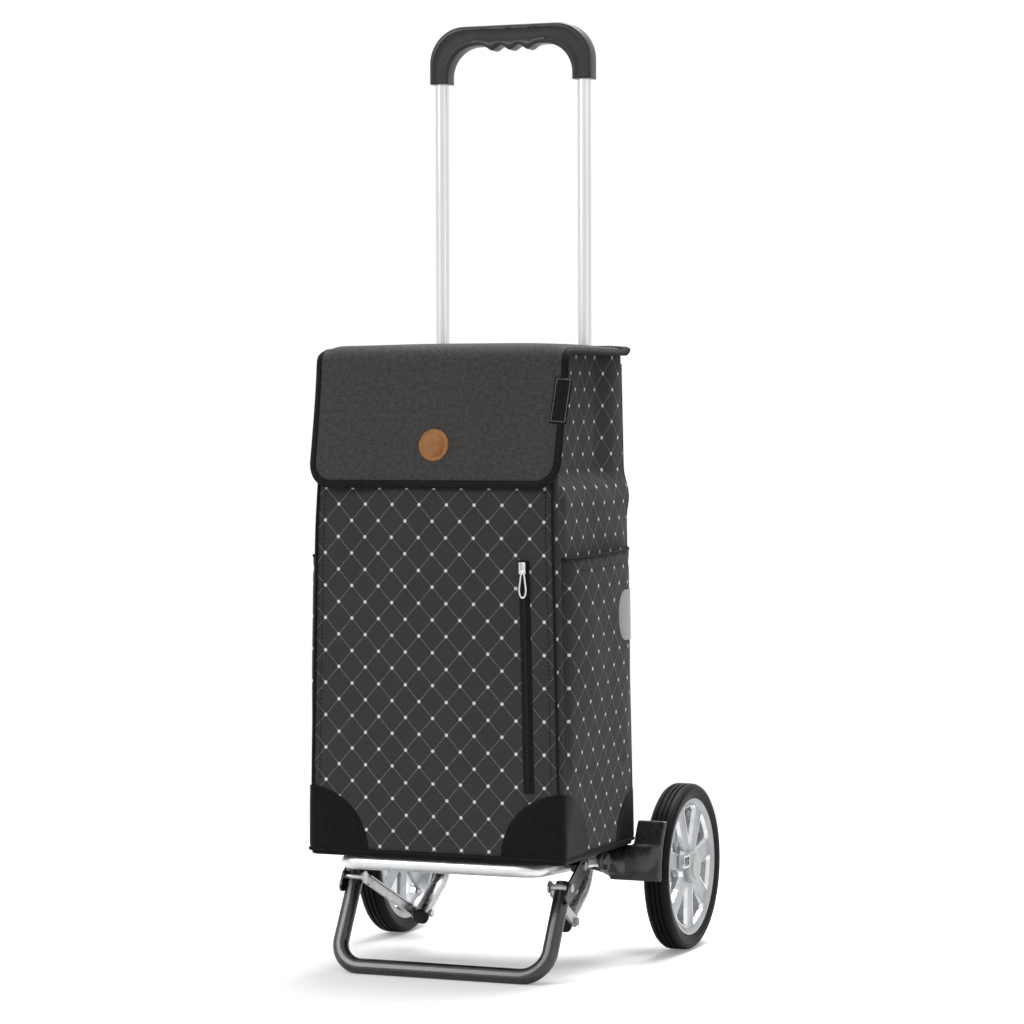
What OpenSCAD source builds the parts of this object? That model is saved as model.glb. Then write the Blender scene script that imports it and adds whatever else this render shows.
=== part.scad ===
// Two-wheeled shopping trolley: a fold-down carrying bow and stand on a pair of
// bent tubes, a telescopic pull handle, two spoked wheels and a tapered cloth bag
// with a flap. Z is up, the bag's front faces -Y, the wheels turn about X.
// Heights are above the floor. Depths in the modules are counted from the axle.

/* [Wheels] */
// Outside diameter of a tyre
wheel_d = 200; // [150:5:230]
// Width of a tyre
tyre_w = 31; // [20:1:40]
// Distance between the middles of the two tyres
track_w = 374.7; // [340:1:440]
// Height of the tyre rubber from the rim seat to the tread
tyre_h = 18; // [10:1:26]
// Windows cut through each rim
rim_windows = 7; // [5:1:9]
// Diameter of the axle rod
axle_d = 12; // [8:1:16]
// Width of a spoke between two windows
spoke_w = 17; // [10:1:20]

/* [Frame tubes] */
// Distance between the middles of the two upright tubes
tube_gap = 184.4; // [150:1:220]
// Outside diameter of the upright tubes
tube_d = 20; // [18:0.5:24]
// Wall of the upright tubes
tube_wall = 1.5; // [1:0.1:2]
// Distance from the axle forward to the upright tubes
tube_setback = 78; // [70:1:100]
// Height of the top of the upright tubes
tube_top_z = 700; // [560:10:840]
// Bend radius of the tube's foot, to the tube's middle
bend_r = 45; // [35:1:50]
// Straight length of the tube's foot after the bend
foot_len = 56; // [45:1:66]

/* [Handle] */
// Outside diameter of the sliding tubes
slide_d = 16; // [12:0.5:16]
// Wall of the sliding tubes
slide_wall = 1.4; // [1:0.1:2]
// Height of the grip's top with the handle pulled out
handle_top_z = 1113; // [1000:1:1250]
// Thickness of the grip
grip_d = 24; // [22:1:30]
// Radius of the grip's outer corners
grip_corner_r = 44; // [30:1:50]
// Radius of the grip's inner corners
grip_inner_r = 36; // [20:1:40]
// Height of the grip from its legs' ends to its top
grip_h = 68; // [62:1:90]
// Length of sliding tube held inside the uprights with the handle out
tube_overlap = 280; // [150:10:300]

/* [Bag] */
// Width of the bag at its bottom
bag_w = 318; // [250:1:324]
// Width of the bag at the shoulder, below the flap
bag_shoulder_w = 301; // [240:1:324]
// Depth of the bag
bag_depth = 230; // [180:1:290]
// Height of the bag from its base panel to its rim
bag_h = 580; // [480:5:700]
// Height from the bag's base panel to the shoulder
shoulder_h = 418; // [380:2:460]
// Thickness of the bag's padded cloth
cloth_t = 3; // [2:0.5:5]
// Thickness of the bag's stiff base panel
base_t = 4.3; // [3:0.1:8]
// How far the side gussets are drawn in above the shoulder
gusset_sink = 15; // [4:1:20]
// Radius of the bag's upright edges
bag_edge_r = 7; // [5:1:9]
// Height of the side pockets' mouths above the base panel
pocket_top = 344; // [290:2:370]
// How far a side pocket stands off the bag at its mouth
pocket_bulge = 15; // [11:1:22]

/* [Flap] */
// How far the flap hangs down the front
flap_drop = 160; // [110:2:180]
// Thickness of the flap
flap_t = 4; // [3:0.5:6]
// Width of the flap
flap_w = 314; // [260:1:326]
// Radius of the flap's two lower corners
flap_corner_r = 30; // [15:1:45]
// Width of the binding sewn round the flap
binding_w = 9; // [6:1:14]
// Diameter of the round patch on the flap
badge_d = 37; // [25:1:50]

/* [Zip] */
// Length of the zip on the front
zip_len = 263; // [180:1:290]
// Width of the zip tape
zip_w = 11; // [8:1:16]
// Distance of the zip's middle from the bag's middle, at the top
zip_x = 112; // [80:1:122]

/* [Carrying bow and stand] */
// Diameter of the carrying bow's tube
bow_d = 16; // [12:0.5:18]
// Distance between the middles of the carrying bow's arms
bow_gap = 240; // [232:1:250]
// Distance from the upright tubes forward to the bow's pivots
pivot_reach = 44; // [40:1:50]
// Height of the bow's pivots
pivot_z = 119.5; // [116:0.5:124]
// Height of the middle of the bow's front bar
bow_front_z = 129; // [126:0.5:134]
// Width of the stand's tube
stand_w = 19; // [16:0.5:20]
// Thickness of the stand's tube
stand_t = 16; // [12:0.5:18]
// Distance between the middles of the stand's legs
stand_gap = 262; // [258:0.5:266]
// Bend radius of the stand's lower corners
stand_bend_r = 32; // [20:1:45]

/* [Hidden] */
$fn = 64;

fit = 0.02;             // gap of parts pressed or clamped together
run = 0.05;             // radial clearance of parts that turn or slide
soft = 0.3;             // clearance between cloth and its neighbours
wheel_r = wheel_d / 2;
axle_z = wheel_r;
axle_r = axle_d / 2;
wheel_x = track_w / 2;
tube_r = tube_d / 2;
tube_x = tube_gap / 2;
tube_y = -tube_setback;
slide_r = slide_d / 2;
rim_r = wheel_r - tyre_h;

// the bag hangs just in front of the tubes and stands on the carrying bow
hang_gap = 2;
bow_r = bow_d / 2;
bag_back_y = tube_y - tube_r - hang_gap;
bag_front_y = bag_back_y - bag_depth;
base_z = bow_front_z + bow_r + soft;
bag_z = base_z + base_t;
bag_top_z = bag_z + bag_h;
shoulder_z = bag_z + shoulder_h;
pocket_z = bag_z + pocket_top;
bag_taper = (bag_w - bag_shoulder_w) / 2 / shoulder_h;
gusset_z = shoulder_z + 16;
pocket_wall = 2.2;

// flap
flap_gap = 2.5;
badge_t = 1.5;
binding_over = 1;
flap_z = bag_top_z + 0.8;
flap_in_y = bag_front_y - flap_gap;
flap_out_y = flap_in_y - flap_t;
flap_low_z = flap_z - flap_drop;
flap_hinge_y = bag_back_y - 3;
flap_bend_r = 17;
rim_step = 9;
rim_step_depth = 14;
badge_z = flap_low_z + 49;

// the whole trolley is centred front to back
overall_front = flap_out_y - badge_t;
axle_y = -(overall_front + wheel_r) / 2;

// foot of the upright tubes
bend_turn = 60;
bend_z = 112;
foot_start_y = tube_y - bend_r * (1 - cos(bend_turn));
foot_start_z = bend_z - bend_r * sin(bend_turn);
foot_dir_y = -sin(bend_turn);
foot_dir_z = -cos(bend_turn);
plug_t = 4;
bend_lap = 1;           // turn by which the bend runs on inside the straight parts
bend_thin = 0.05;       // how much thinner the tube is drawn in its bend

// carrying bow
bow_x = bow_gap / 2;
pivot_y = tube_y - pivot_reach;
bow_front_y = bag_front_y + bow_r + 2;
bow_reach = pivot_y - bow_front_y;
bow_tilt = atan((bow_front_z - pivot_z) / bow_reach);
bow_len = bow_reach / cos(bow_tilt);
bow_bend_r = 20;
pin_r = 4;
head_lap = 1;           // length of a pin that runs on inside its own head
cheek_t = 6;
cheek_gap = 0.4;
cheek_r = 13;

// stand
stand_x = stand_gap / 2;
stand_pivot_y = pivot_y - 91;
stand_pivot_z = pivot_z + 91 * tan(bow_tilt);
stand_top_y = stand_pivot_y - 34;
stand_top_z = 108;
stand_low_y = stand_top_y - 60;
stand_low_z = stand_t / 2 - 0.4;
stand_lean = atan((stand_top_y - stand_low_y) / (stand_top_z - stand_low_z));
stand_len = norm([stand_top_y - stand_low_y, stand_top_z - stand_low_z]);
rivet_y = stand_pivot_y - 43;
rivet_z = stand_pivot_z - 20;
plate_t = 2.5;
plate_x = stand_x + stand_w / 2 + 0.2;

// links from the feet of the tubes to the stand
link_y = foot_start_y + 50 * foot_dir_y;
link_z = foot_start_z + 50 * foot_dir_z;
link_in_x = tube_x + tube_r + 0.5;
link_out_x = stand_x - stand_w / 2 - 4.5;
link_t = 2;
link_w = 12;
link_r = 7;
link_pin_r = 3;
rivet_gap = 1.4;        // side play between a link and its rivet
link_run = norm([rivet_y - link_y, rivet_z - link_z]);
link_rise = atan((rivet_z - link_z) / (link_y - rivet_y));
link_slant = atan((link_out_x - link_in_x) / link_run);

// housings of the axle, with the guard in front of each tyre
guard_in_r = wheel_r + 4;
guard_t = 5;
guard_x0 = 134;
guard_x1 = wheel_x + tyre_w / 2 - 4;
guard_low = -3;
guard_high = 37;
boss_r = 17;
wheel_in_x = wheel_x - 14.5;
hub_out_x = wheel_x + 15;
sleeve_r = 14;

// handle and clamps
grip_r = grip_d / 2;
grip_under_z = handle_top_z - grip_d;
grip_low_z = handle_top_z - grip_h;
grip_hold = 28;         // length of sliding tube held inside a leg of the grip
finger_pitch = 23;
finger_r = 9;
slide_low_z = tube_top_z - tube_overlap;
collar_r = 15;
collar_h = 36;
collar_top = 4;
collar_z = tube_top_z - collar_h + collar_top;
lever_y = tube_y + collar_r + 8;
lever_z = collar_z + 24;
lever_pin_r = 2.5;

// zip
zip_top_z = min(bag_z + shoulder_h - 78, flap_low_z - 24);
zip_run = min(zip_len, zip_top_z - bag_z - 77);
zip_lean = atan(bag_taper);
zip_t = 1.2;
zip_y = bag_front_y - 0.2 - zip_t;
slider_t = 4.5;
slider_h = 13;

module from_axle() {
    translate([0, axle_y, 0])
        children();
}

module both_sides() {
    children();
    mirror([1, 0, 0])
        children();
}

// side is 1 for the right-hand copy and -1 for the left-hand copy
module on_side(side) {
    mirror([side < 0 ? 1 : 0, 0, 0])
        children();
}

module rod_x(x0, x1, r, y, z) {
    translate([x0, y, z])
        rotate([0, 90, 0])
            cylinder(r = r, h = x1 - x0);
}

module rod_y(y0, y1, r, x, z) {
    translate([x, y0, z])
        rotate([-90, 0, 0])
            cylinder(r = r, h = y1 - y0);
}

// ---- upright tubes ----

module side_tube(side) {
    color("silver")
        from_axle()
            on_side(side)
                translate([tube_x, 0, 0])
                    difference() {
                        union() {
                            translate([0, tube_y, bend_z])
                                cylinder(r = tube_r, h = tube_top_z - bend_z);
                            translate([0, tube_y - bend_r, bend_z])
                                rotate([0, 90, 0])
                                    rotate([0, 0, 90 - bend_turn - bend_lap])
                                        rotate_extrude(angle = bend_turn + 2 * bend_lap)
                                            translate([bend_r, 0])
                                                circle(r = tube_r - bend_thin);
                            translate([0, foot_start_y, foot_start_z])
                                rotate([180 - bend_turn, 0, 0])
                                    cylinder(r = tube_r, h = foot_len);
                        }
                        translate([0, tube_y, bend_z + 1])
                            cylinder(r = tube_r - tube_wall, h = tube_top_z - bend_z);
                        translate([0, foot_start_y + 22 * foot_dir_y, foot_start_z + 22 * foot_dir_z])
                            rotate([180 - bend_turn, 0, 0])
                                cylinder(r = tube_r - tube_wall, h = foot_len);
                        rod_x(-tube_r - 1, tube_r + 1, link_pin_r + fit, link_y, link_z);
                    }
}

module tube_plug(side) {
    color("black")
        from_axle()
            on_side(side)
                translate([tube_x, foot_start_y, foot_start_z])
                    rotate([180 - bend_turn, 0, 0])
                        translate([0, 0, foot_len])
                            union() {
                                cylinder(r = tube_r, h = plug_t - 1);
                                translate([0, 0, plug_t - 1])
                                    cylinder(r1 = tube_r, r2 = tube_r - 1.5, h = 1.5);
                                translate([0, 0, -2])
                                    cylinder(r = tube_r - tube_wall - fit, h = 3);
                            }
}

module brace(z, r) {
    color("silver")
        from_axle()
            difference() {
                rod_x(-tube_x, tube_x, r, tube_y, z);
                both_sides()
                    translate([tube_x, tube_y, z - 2 * r])
                        cylinder(r = tube_r + fit, h = 4 * r);
            }
}

module brace_upper() {
    brace(tube_top_z - 70, 7);
}

module brace_lower() {
    brace(bag_z + 50, 7);
}

// ---- axle and housings ----

module wheel_axle() {
    color("gainsboro")
        from_axle()
            rod_x(-hub_out_x + 3, hub_out_x - 3, axle_r, 0, axle_z);
}

module guard_band() {
    difference() {
        translate([guard_x0, 0, axle_z])
            rotate([0, 90, 0])
                rotate([0, 0, -90 - guard_high])
                    rotate_extrude(angle = guard_high - guard_low)
                        translate([guard_in_r, 0])
                            square([guard_t, guard_x1 - guard_x0]);
        translate([0, -wheel_r * 2, base_z - 1])
            cube([bag_w / 2 + 3, wheel_r * 2, wheel_r]);
    }
}

module axle_housing(side) {
    color("dimgray")
        from_axle()
            on_side(side)
                difference() {
                    union() {
                        translate([tube_x, tube_y, bend_z + 1])
                            cylinder(r = sleeve_r, h = base_z - 3 - bend_z);
                        hull() {
                            translate([tube_x + 8, tube_y, bend_z + 10])
                                sphere(r = 10, $fn = 32);
                            rod_x(guard_x0 + 8, wheel_in_x - 0.5, boss_r, 0, axle_z);
                        }
                        hull() {
                            translate([tube_x + 12, tube_y, bend_z + 8])
                                sphere(r = 11, $fn = 32);
                            translate([bow_x + 24, -wheel_r - 1, axle_z + 11])
                                sphere(r = 14, $fn = 32);
                        }
                        hull() {
                            translate([bow_x, pivot_y + 17, pivot_z - 1])
                                rotate([0, 90, 0])
                                    cylinder(r = cheek_r - 1, h = 29, center = true, $fn = 32);
                            translate([bow_x + 24, -wheel_r - 1, axle_z + 11])
                                sphere(r = 14, $fn = 32);
                        }
                        translate([bow_x - bow_r - cheek_gap - cheek_t, pivot_y, pivot_z - cheek_r])
                            cube([bow_d + 2 * cheek_gap + 2 * cheek_t, 20, 2 * cheek_r - 3]);
                        rod_x(bow_x - bow_r - cheek_gap - cheek_t, bow_x + bow_r + cheek_gap + cheek_t,
                            cheek_r, pivot_y, pivot_z);
                        guard_band();
                    }
                    translate([tube_x, tube_y, bend_z - 30])
                        cylinder(r = tube_r + fit, h = 80);
                    rod_x(tube_x, wheel_x, axle_r + fit, 0, axle_z);
                    rod_x(bow_x - 30, bow_x + 30, pin_r + fit, pivot_y, pivot_z);
                    translate([bow_x - bow_r - cheek_gap, pivot_y - 40, pivot_z - 40])
                        cube([bow_d + 2 * cheek_gap, 40 + bow_r + 1.5, 80]);
                    rod_x(wheel_in_x, wheel_x + 60, wheel_r + 3, 0, axle_z);
                    translate([0, -wheel_r * 2, base_z - 1])
                        cube([bag_w / 2 + 3, wheel_r * 2 + 6, wheel_r]);
                }
}

// ---- carrying bow: two arms and a front bar, hinged in the housings ----

module bow_frame() {
    from_axle()
        translate([0, pivot_y, pivot_z])
            rotate([-bow_tilt, 0, 0])
                children();
}

module carrying_bow() {
    color("gainsboro")
        bow_frame()
            difference() {
                union() {
                    both_sides() {
                        rod_y(-bow_len + bow_bend_r, 0, bow_r, bow_x, 0);
                        translate([bow_x - bow_bend_r, -bow_len + bow_bend_r, 0])
                            rotate([0, 0, -90])
                                rotate_extrude(angle = 90)
                                    translate([bow_bend_r, 0])
                                        circle(r = bow_r);
                        rod_x(bow_x - bow_r + 0.6, bow_x + bow_r - 0.6, bow_r + 0.4, 0, 0);
                    }
                    rod_x(-bow_x + bow_bend_r, bow_x - bow_bend_r, bow_r, -bow_len, 0);
                }
                both_sides() {
                    rod_x(bow_x - 20, bow_x + 20, pin_r + run, 0, 0);
                    rod_x(bow_x - 20, bow_x + 20, pin_r + run, -91 / cos(bow_tilt), 0);
                }
            }
}

module bow_pins() {
    color("silver")
        from_axle()
            both_sides() {
                rod_x(bow_x - bow_r - cheek_gap - cheek_t,
                    bow_x + bow_r + cheek_gap + cheek_t + head_lap, pin_r, pivot_y, pivot_z);
                rod_x(bow_x + bow_r + cheek_gap + cheek_t, bow_x + bow_r + cheek_gap + cheek_t + 2,
                    pin_r + 1.5, pivot_y, pivot_z);
            }
}

// ---- stand: a bent bow that swings under the carrying bow ----

module stand_section() {
    side = (stand_w - stand_t) / 2;
    square([2 * side, stand_t], center = true);
    translate([side, 0])
        circle(r = stand_t / 2);
    translate([-side, 0])
        circle(r = stand_t / 2);
}

module bar_section() {
    side = (stand_w - stand_t) / 2;
    translate([-side, -stand_t / 2])
        square([2 * side, stand_t]);
    translate([side, 0])
        circle(r = stand_t / 2);
    translate([-side, 0])
        circle(r = stand_t / 2);
}

module stand_bow() {
    color("black")
        from_axle()
            difference() {
                translate([0, stand_low_y, stand_low_z])
                    rotate([-stand_lean, 0, 0])
                        union() {
                            both_sides() {
                                translate([stand_x, 0, stand_bend_r])
                                    linear_extrude(height = stand_len - stand_bend_r)
                                        stand_section();
                                translate([stand_x - stand_bend_r, 0, stand_bend_r])
                                    rotate([90, 0, 0])
                                        rotate([0, 0, -90])
                                            rotate_extrude(angle = 90)
                                                translate([stand_bend_r, 0])
                                                    bar_section();
                            }
                            translate([-stand_x + stand_bend_r, 0, 0])
                                rotate([0, 90, 0])
                                    linear_extrude(height = 2 * (stand_x - stand_bend_r))
                                        bar_section();
                        }
                translate([-stand_x - 60, stand_low_y - 60, -30])
                    cube([2 * stand_x + 120, 120, 30]);
                both_sides()
                    rod_x(stand_x - 20, stand_x + 20, pin_r + fit, rivet_y, rivet_z);
            }
}

module plate_shape() {
    difference() {
        hull() {
            rod_x(plate_x, plate_x + plate_t, 12, stand_pivot_y, stand_pivot_z);
            rod_x(plate_x, plate_x + plate_t, 8, rivet_y, rivet_z);
            rod_x(plate_x, plate_x + plate_t, 7, rivet_y - 8, rivet_z - 10);
        }
        rod_x(plate_x - 1, plate_x + plate_t + 1, pin_r + fit, stand_pivot_y, stand_pivot_z);
        rod_x(plate_x - 1, plate_x + plate_t + 1, pin_r + fit, rivet_y, rivet_z);
    }
}

module stand_plates() {
    color("dimgray")
        from_axle()
            both_sides() {
                plate_shape();
                difference() {
                    rod_x(bow_x + bow_r + cheek_gap, plate_x, 7.5, stand_pivot_y, stand_pivot_z);
                    rod_x(bow_x, plate_x + 1, pin_r + fit, stand_pivot_y, stand_pivot_z);
                }
            }
}

module stand_pivot_pins() {
    color("silver")
        from_axle()
            both_sides() {
                rod_x(bow_x - bow_r - cheek_gap - head_lap, plate_x + plate_t + head_lap, pin_r,
                    stand_pivot_y, stand_pivot_z);
                rod_x(bow_x - bow_r - cheek_gap - 2, bow_x - bow_r - cheek_gap, pin_r + 2,
                    stand_pivot_y, stand_pivot_z);
                rod_x(plate_x + plate_t, plate_x + plate_t + 1.6, pin_r + 1, stand_pivot_y, stand_pivot_z);
            }
}

module stand_link_rivets() {
    color("silver")
        from_axle()
            both_sides() {
                rod_x(link_out_x + link_t / 2 + rivet_gap, plate_x + plate_t + head_lap, pin_r,
                    rivet_y, rivet_z);
                rod_x(plate_x + plate_t, plate_x + plate_t + 1.6, pin_r + 1, rivet_y, rivet_z);
            }
}

// ---- links ----

module link(side) {
    color("silver")
        from_axle()
            on_side(side)
                difference() {
                    union() {
                        rod_x(link_in_x, link_in_x + link_t, link_r, link_y, link_z);
                        rod_x(link_out_x - link_t / 2, link_out_x + link_t / 2, link_r, rivet_y, rivet_z);
                        translate([link_in_x + link_t / 2, link_y, link_z])
                            rotate([-link_rise, 0, 0])
                                rotate([0, 0, link_slant])
                                    translate([-link_t / 2, -link_run, -link_w / 2])
                                        union() {
                                            cube([link_t, link_run, link_w]);
                                            translate([-2, 10, 0])
                                                cube([3, link_run - 20, 1.5]);
                                            translate([-2, 10, link_w - 1.5])
                                                cube([3, link_run - 20, 1.5]);
                                        }
                    }
                    rod_x(link_in_x - 5, link_in_x + 8, link_pin_r + run, link_y, link_z);
                }
}

module link_pins() {
    color("silver")
        from_axle()
            both_sides() {
                rod_x(tube_x - tube_r - 1 - head_lap, link_in_x + link_t + 1 + head_lap,
                    link_pin_r, link_y, link_z);
                rod_x(link_in_x + link_t + 1, link_in_x + link_t + 3, link_pin_r + 2, link_y, link_z);
                rod_x(tube_x - tube_r - 3, tube_x - tube_r - 1, link_pin_r + 2, link_y, link_z);
            }
}

// ---- wheels ----

function groove(x) = [[wheel_r - 0.1, x - 1.2], [wheel_r - 2, x - 0.8], [wheel_r - 2, x + 0.8],
    [wheel_r - 0.1, x + 1.2]];

module tyre_profile() {
    half = tyre_w / 2;
    step = tyre_w / 5.2;
    polygon(concat(
        [[rim_r, -half + 3], [rim_r + tyre_h * 0.4, -half + 0.5], [wheel_r - 6, -half],
            [wheel_r - 2.5, -half + 2], [wheel_r - 0.6, -half + 5]],
        groove(-step), groove(0), groove(step),
        [[wheel_r - 0.6, half - 5], [wheel_r - 2.5, half - 2], [wheel_r - 6, half],
            [rim_r + tyre_h * 0.4, half - 0.5], [rim_r, half - 3]]));
}

module wheel_frame(side) {
    from_axle()
        on_side(side)
            translate([wheel_x, 0, axle_z])
                rotate([0, 90, 0])
                    children();
}

module tyre(side) {
    color("black")
        wheel_frame(side)
            rotate_extrude()
                tyre_profile();
}

module rim_profile() {
    polygon([[11, -14], [18, -14], [19, -6], [rim_r - 12, -4], [rim_r - 7, -12.5],
        [rim_r, -12.5], [rim_r, 12.5], [rim_r - 3, 12.5], [rim_r - 7, 8], [20, 10], [20, 13],
        [11, 13]]);
}

module rim_window() {
    inner_r = 27;
    outer_r = rim_r - 13;
    half_pitch = sin(180 / rim_windows);
    wide = outer_r * half_pitch - spoke_w / 2;
    narrow = inner_r * half_pitch - spoke_w / 2;
    translate([0, 0, -20])
        linear_extrude(height = 40)
            polygon([[inner_r, -narrow], [outer_r - 1, -wide], [outer_r + 3, -wide + 5],
                [outer_r + 3, wide - 5], [outer_r - 1, wide], [inner_r, narrow]]);
}

module rim(side) {
    color("lightgray")
        wheel_frame(side)
            difference() {
                rotate_extrude()
                    rim_profile();
                for (i = [0 : rim_windows - 1])
                    rotate([0, 0, 180 + i * 360 / rim_windows])
                        rim_window();
            }
}

module bearings(side) {
    color("gray")
        wheel_frame(side)
            for (z = [-14, 5])
                translate([0, 0, z])
                    difference() {
                        cylinder(r = 11, h = 8);
                        translate([0, 0, -1])
                            cylinder(r = axle_r + run, h = 10);
                    }
}

module hub_cap(side) {
    color("darkgray")
        wheel_frame(side)
            union() {
                translate([0, 0, 13])
                    difference() {
                        cylinder(r = 20, h = 3);
                        translate([0, 0, -1])
                            cylinder(r = 11, h = 3.5);
                    }
                translate([0, 0, 16])
                    cylinder(r = 14, h = 3);
            }
}

module hub_latch(side) {
    color("silver")
        wheel_frame(side)
            translate([-17.5, -43, 10.2])
                difference() {
                    cube([15, 20, 7.3]);
                    translate([2, 2, 5.8])
                        cube([11, 16, 2]);
                }
}

// ---- handle ----

// a square-shouldered arch with round upper corners, from z = low to z = top
module arch(half, low, top, r) {
    translate([-half, low])
        square([2 * half, top - r - low]);
    translate([-half + r, low])
        square([2 * half - 2 * r, top - low]);
    translate([-half + r, top - r])
        circle(r = r);
    translate([half - r, top - r])
        circle(r = r);
}

module grip_outline() {
    difference() {
        arch(tube_x + grip_r, grip_low_z, handle_top_z, grip_corner_r);
        arch(tube_x - grip_r, grip_low_z - grip_h, grip_under_z, grip_inner_r);
        translate([-2 * tube_x, grip_low_z - 2 * grip_corner_r])
            square([4 * tube_x, 2 * grip_corner_r]);
    }
    for (i = [-1, 0, 1])
        translate([i * finger_pitch, grip_under_z + finger_r - 3])
            circle(r = finger_r);
}

module handle_grip() {
    color("black")
        from_axle()
            difference() {
                translate([0, tube_y + grip_r, 0])
                    rotate([90, 0, 0])
                        linear_extrude(height = grip_d)
                            grip_outline();
                both_sides()
                    translate([tube_x, tube_y, grip_low_z - 1])
                        cylinder(r = slide_r + fit, h = grip_hold + 1);
                both_sides()
                    rod_y(tube_y + slide_r - 2, tube_y + grip_r + 1, 2, tube_x, grip_low_z + 10);
            }
}

module slide_tube(side) {
    color("gainsboro")
        from_axle()
            on_side(side)
                translate([tube_x, tube_y, slide_low_z])
                    difference() {
                        cylinder(r = slide_r, h = grip_low_z + grip_hold - slide_low_z - 0.2);
                        translate([0, 0, -1])
                            cylinder(r = slide_r - slide_wall, h = handle_top_z);
                        rod_y(0, slide_r + 1, 2, 0, grip_low_z + 10 - slide_low_z);
                    }
}

module tube_glides() {
    color("black")
        from_axle()
            both_sides()
                translate([tube_x, tube_y, slide_low_z - 6])
                    union() {
                        cylinder(r = tube_r - tube_wall - run, h = 6);
                        translate([0, 0, 6])
                            cylinder(r = slide_r - slide_wall - fit, h = 18);
                    }
}

module grip_screws() {
    color("silver")
        from_axle()
            both_sides()
                rod_y(tube_y + slide_r - slide_wall, tube_y + grip_r - 0.5, 2 - fit, tube_x,
                    grip_low_z + 10);
}

module clamp_collar(side) {
    color("black")
        from_axle()
            on_side(side)
                difference() {
                    union() {
                        translate([tube_x, tube_y, collar_z])
                            cylinder(r = collar_r, h = collar_h);
                        for (x = [-7.5, 4.3])
                            hull() {
                                rod_x(tube_x + x, tube_x + x + 3.2, 5, lever_y, lever_z);
                                translate([tube_x + x, tube_y, lever_z - 8])
                                    cube([3.2, 10, 16]);
                            }
                    }
                    translate([tube_x, tube_y, collar_z - 1])
                        cylinder(r = tube_r + fit, h = collar_h - collar_top + 1);
                    translate([tube_x, tube_y, collar_z - 1])
                        cylinder(r = slide_r + run, h = collar_h + 2);
                    rod_x(tube_x - 12, tube_x + 12, lever_pin_r + fit, lever_y, lever_z);
                    translate([tube_x - 30, bag_back_y + soft - 20, collar_z - 1])
                        cube([60, 20, collar_h + 2]);
                }
}

module clamp_pins() {
    color("silver")
        from_axle()
            both_sides()
                rod_x(tube_x - 8.5, tube_x + 8.5, lever_pin_r, lever_y, lever_z);
}

module clamp_lever(side) {
    color("dimgray")
        from_axle()
            on_side(side)
                difference() {
                    union() {
                        rod_x(tube_x - 3.9, tube_x + 3.9, 6, lever_y, lever_z);
                        translate([tube_x - 3.9, lever_y, lever_z - 34])
                            cube([7.8, 5, 34]);
                        translate([tube_x - 9, lever_y, lever_z - 46])
                            cube([18, 5, 30]);
                    }
                    rod_x(tube_x - 12, tube_x + 12, lever_pin_r + run, lever_y, lever_z);
                }
}

// ---- bag ----

// a thin slab of the bag's outline at height z, grown outwards by grow
module bag_slab(z, w, grow) {
    r = bag_edge_r + grow;
    x = w / 2 - bag_edge_r;
    y0 = bag_front_y + bag_edge_r;
    y1 = bag_back_y - bag_edge_r;
    for (sx = [-1, 1])
        for (y = [y0, y1])
            translate([sx * x, y, z])
                cylinder(r = r, h = 0.01, $fn = 32);
}

module bag_lower(grow, z0, z1) {
    hull() {
        bag_slab(z0, bag_w - 2 * bag_taper * (z0 - bag_z), grow);
        bag_slab(z1 - 0.01, bag_w - 2 * bag_taper * (z1 - bag_z), grow);
    }
}

// half the bag's width at height z
function bag_half(z) = bag_w / 2 - bag_taper * (z - bag_z);

// front view of the step where the gusset is drawn in on the bag's right side
module gusset_outline() {
    polygon([[bag_half(gusset_z - 34) + 0.5, gusset_z - 34],
        [bag_half(gusset_z) - gusset_sink, gusset_z],
        [bag_half(bag_top_z) - gusset_sink, bag_top_z + 1],
        [bag_half(bag_top_z) + 20, bag_top_z + 1],
        [bag_half(bag_top_z) + 20, gusset_z - 34]]);
}

// front view of the right half of the bag's inside
module inside_outline() {
    polygon([[-1, bag_z + cloth_t],
        [bag_half(bag_z) - cloth_t, bag_z + cloth_t],
        [bag_half(gusset_z - 60) - cloth_t, gusset_z - 60],
        [bag_half(gusset_z) - gusset_sink - cloth_t, gusset_z - 22],
        [bag_half(bag_top_z) - gusset_sink - cloth_t, bag_top_z + 1],
        [-1, bag_top_z + 1]]);
}

module along_depth(y0, y1) {
    translate([0, y1, 0])
        rotate([90, 0, 0])
            linear_extrude(height = y1 - y0)
                children();
}

module bag_shell() {
    color("dimgray")
        from_axle()
            difference() {
                bag_lower(0, bag_z, bag_top_z);
                both_sides() {
                    along_depth(bag_front_y + 20, bag_back_y - 24)
                        gusset_outline();
                    along_depth(bag_front_y + cloth_t, bag_back_y - cloth_t)
                        inside_outline();
                }
                translate([-bag_w, bag_front_y - 5, bag_top_z - rim_step])
                    cube([2 * bag_w, 5 + rim_step_depth, rim_step + 1]);
            }
}

module bag_base() {
    color("black")
        from_axle()
            hull() {
                bag_slab(base_z, bag_w, 0);
                bag_slab(bag_z - 0.01, bag_w, 0);
            }
}

module pocket_wedge(stand_off, grow, z_top) {
    y0 = bag_front_y + 10 - grow;
    y1 = bag_back_y - 8 + grow;
    x_top = bag_w / 2 - bag_taper * pocket_top;
    x_low = bag_w / 2 - bag_taper * 95;
    hull() {
        translate([x_top - 1, y0 + 34, z_top])
            cube([stand_off + 1, y1 - y0 - 68, 0.1]);
        translate([x_top - 1, y0, z_top])
            cube([1.5 + grow, y1 - y0, 0.1]);
        translate([x_low - 1, y0 + grow, bag_z + 95 - grow])
            cube([1.5 + grow, y1 - y0 - 2 * grow, 0.1]);
    }
}

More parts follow.
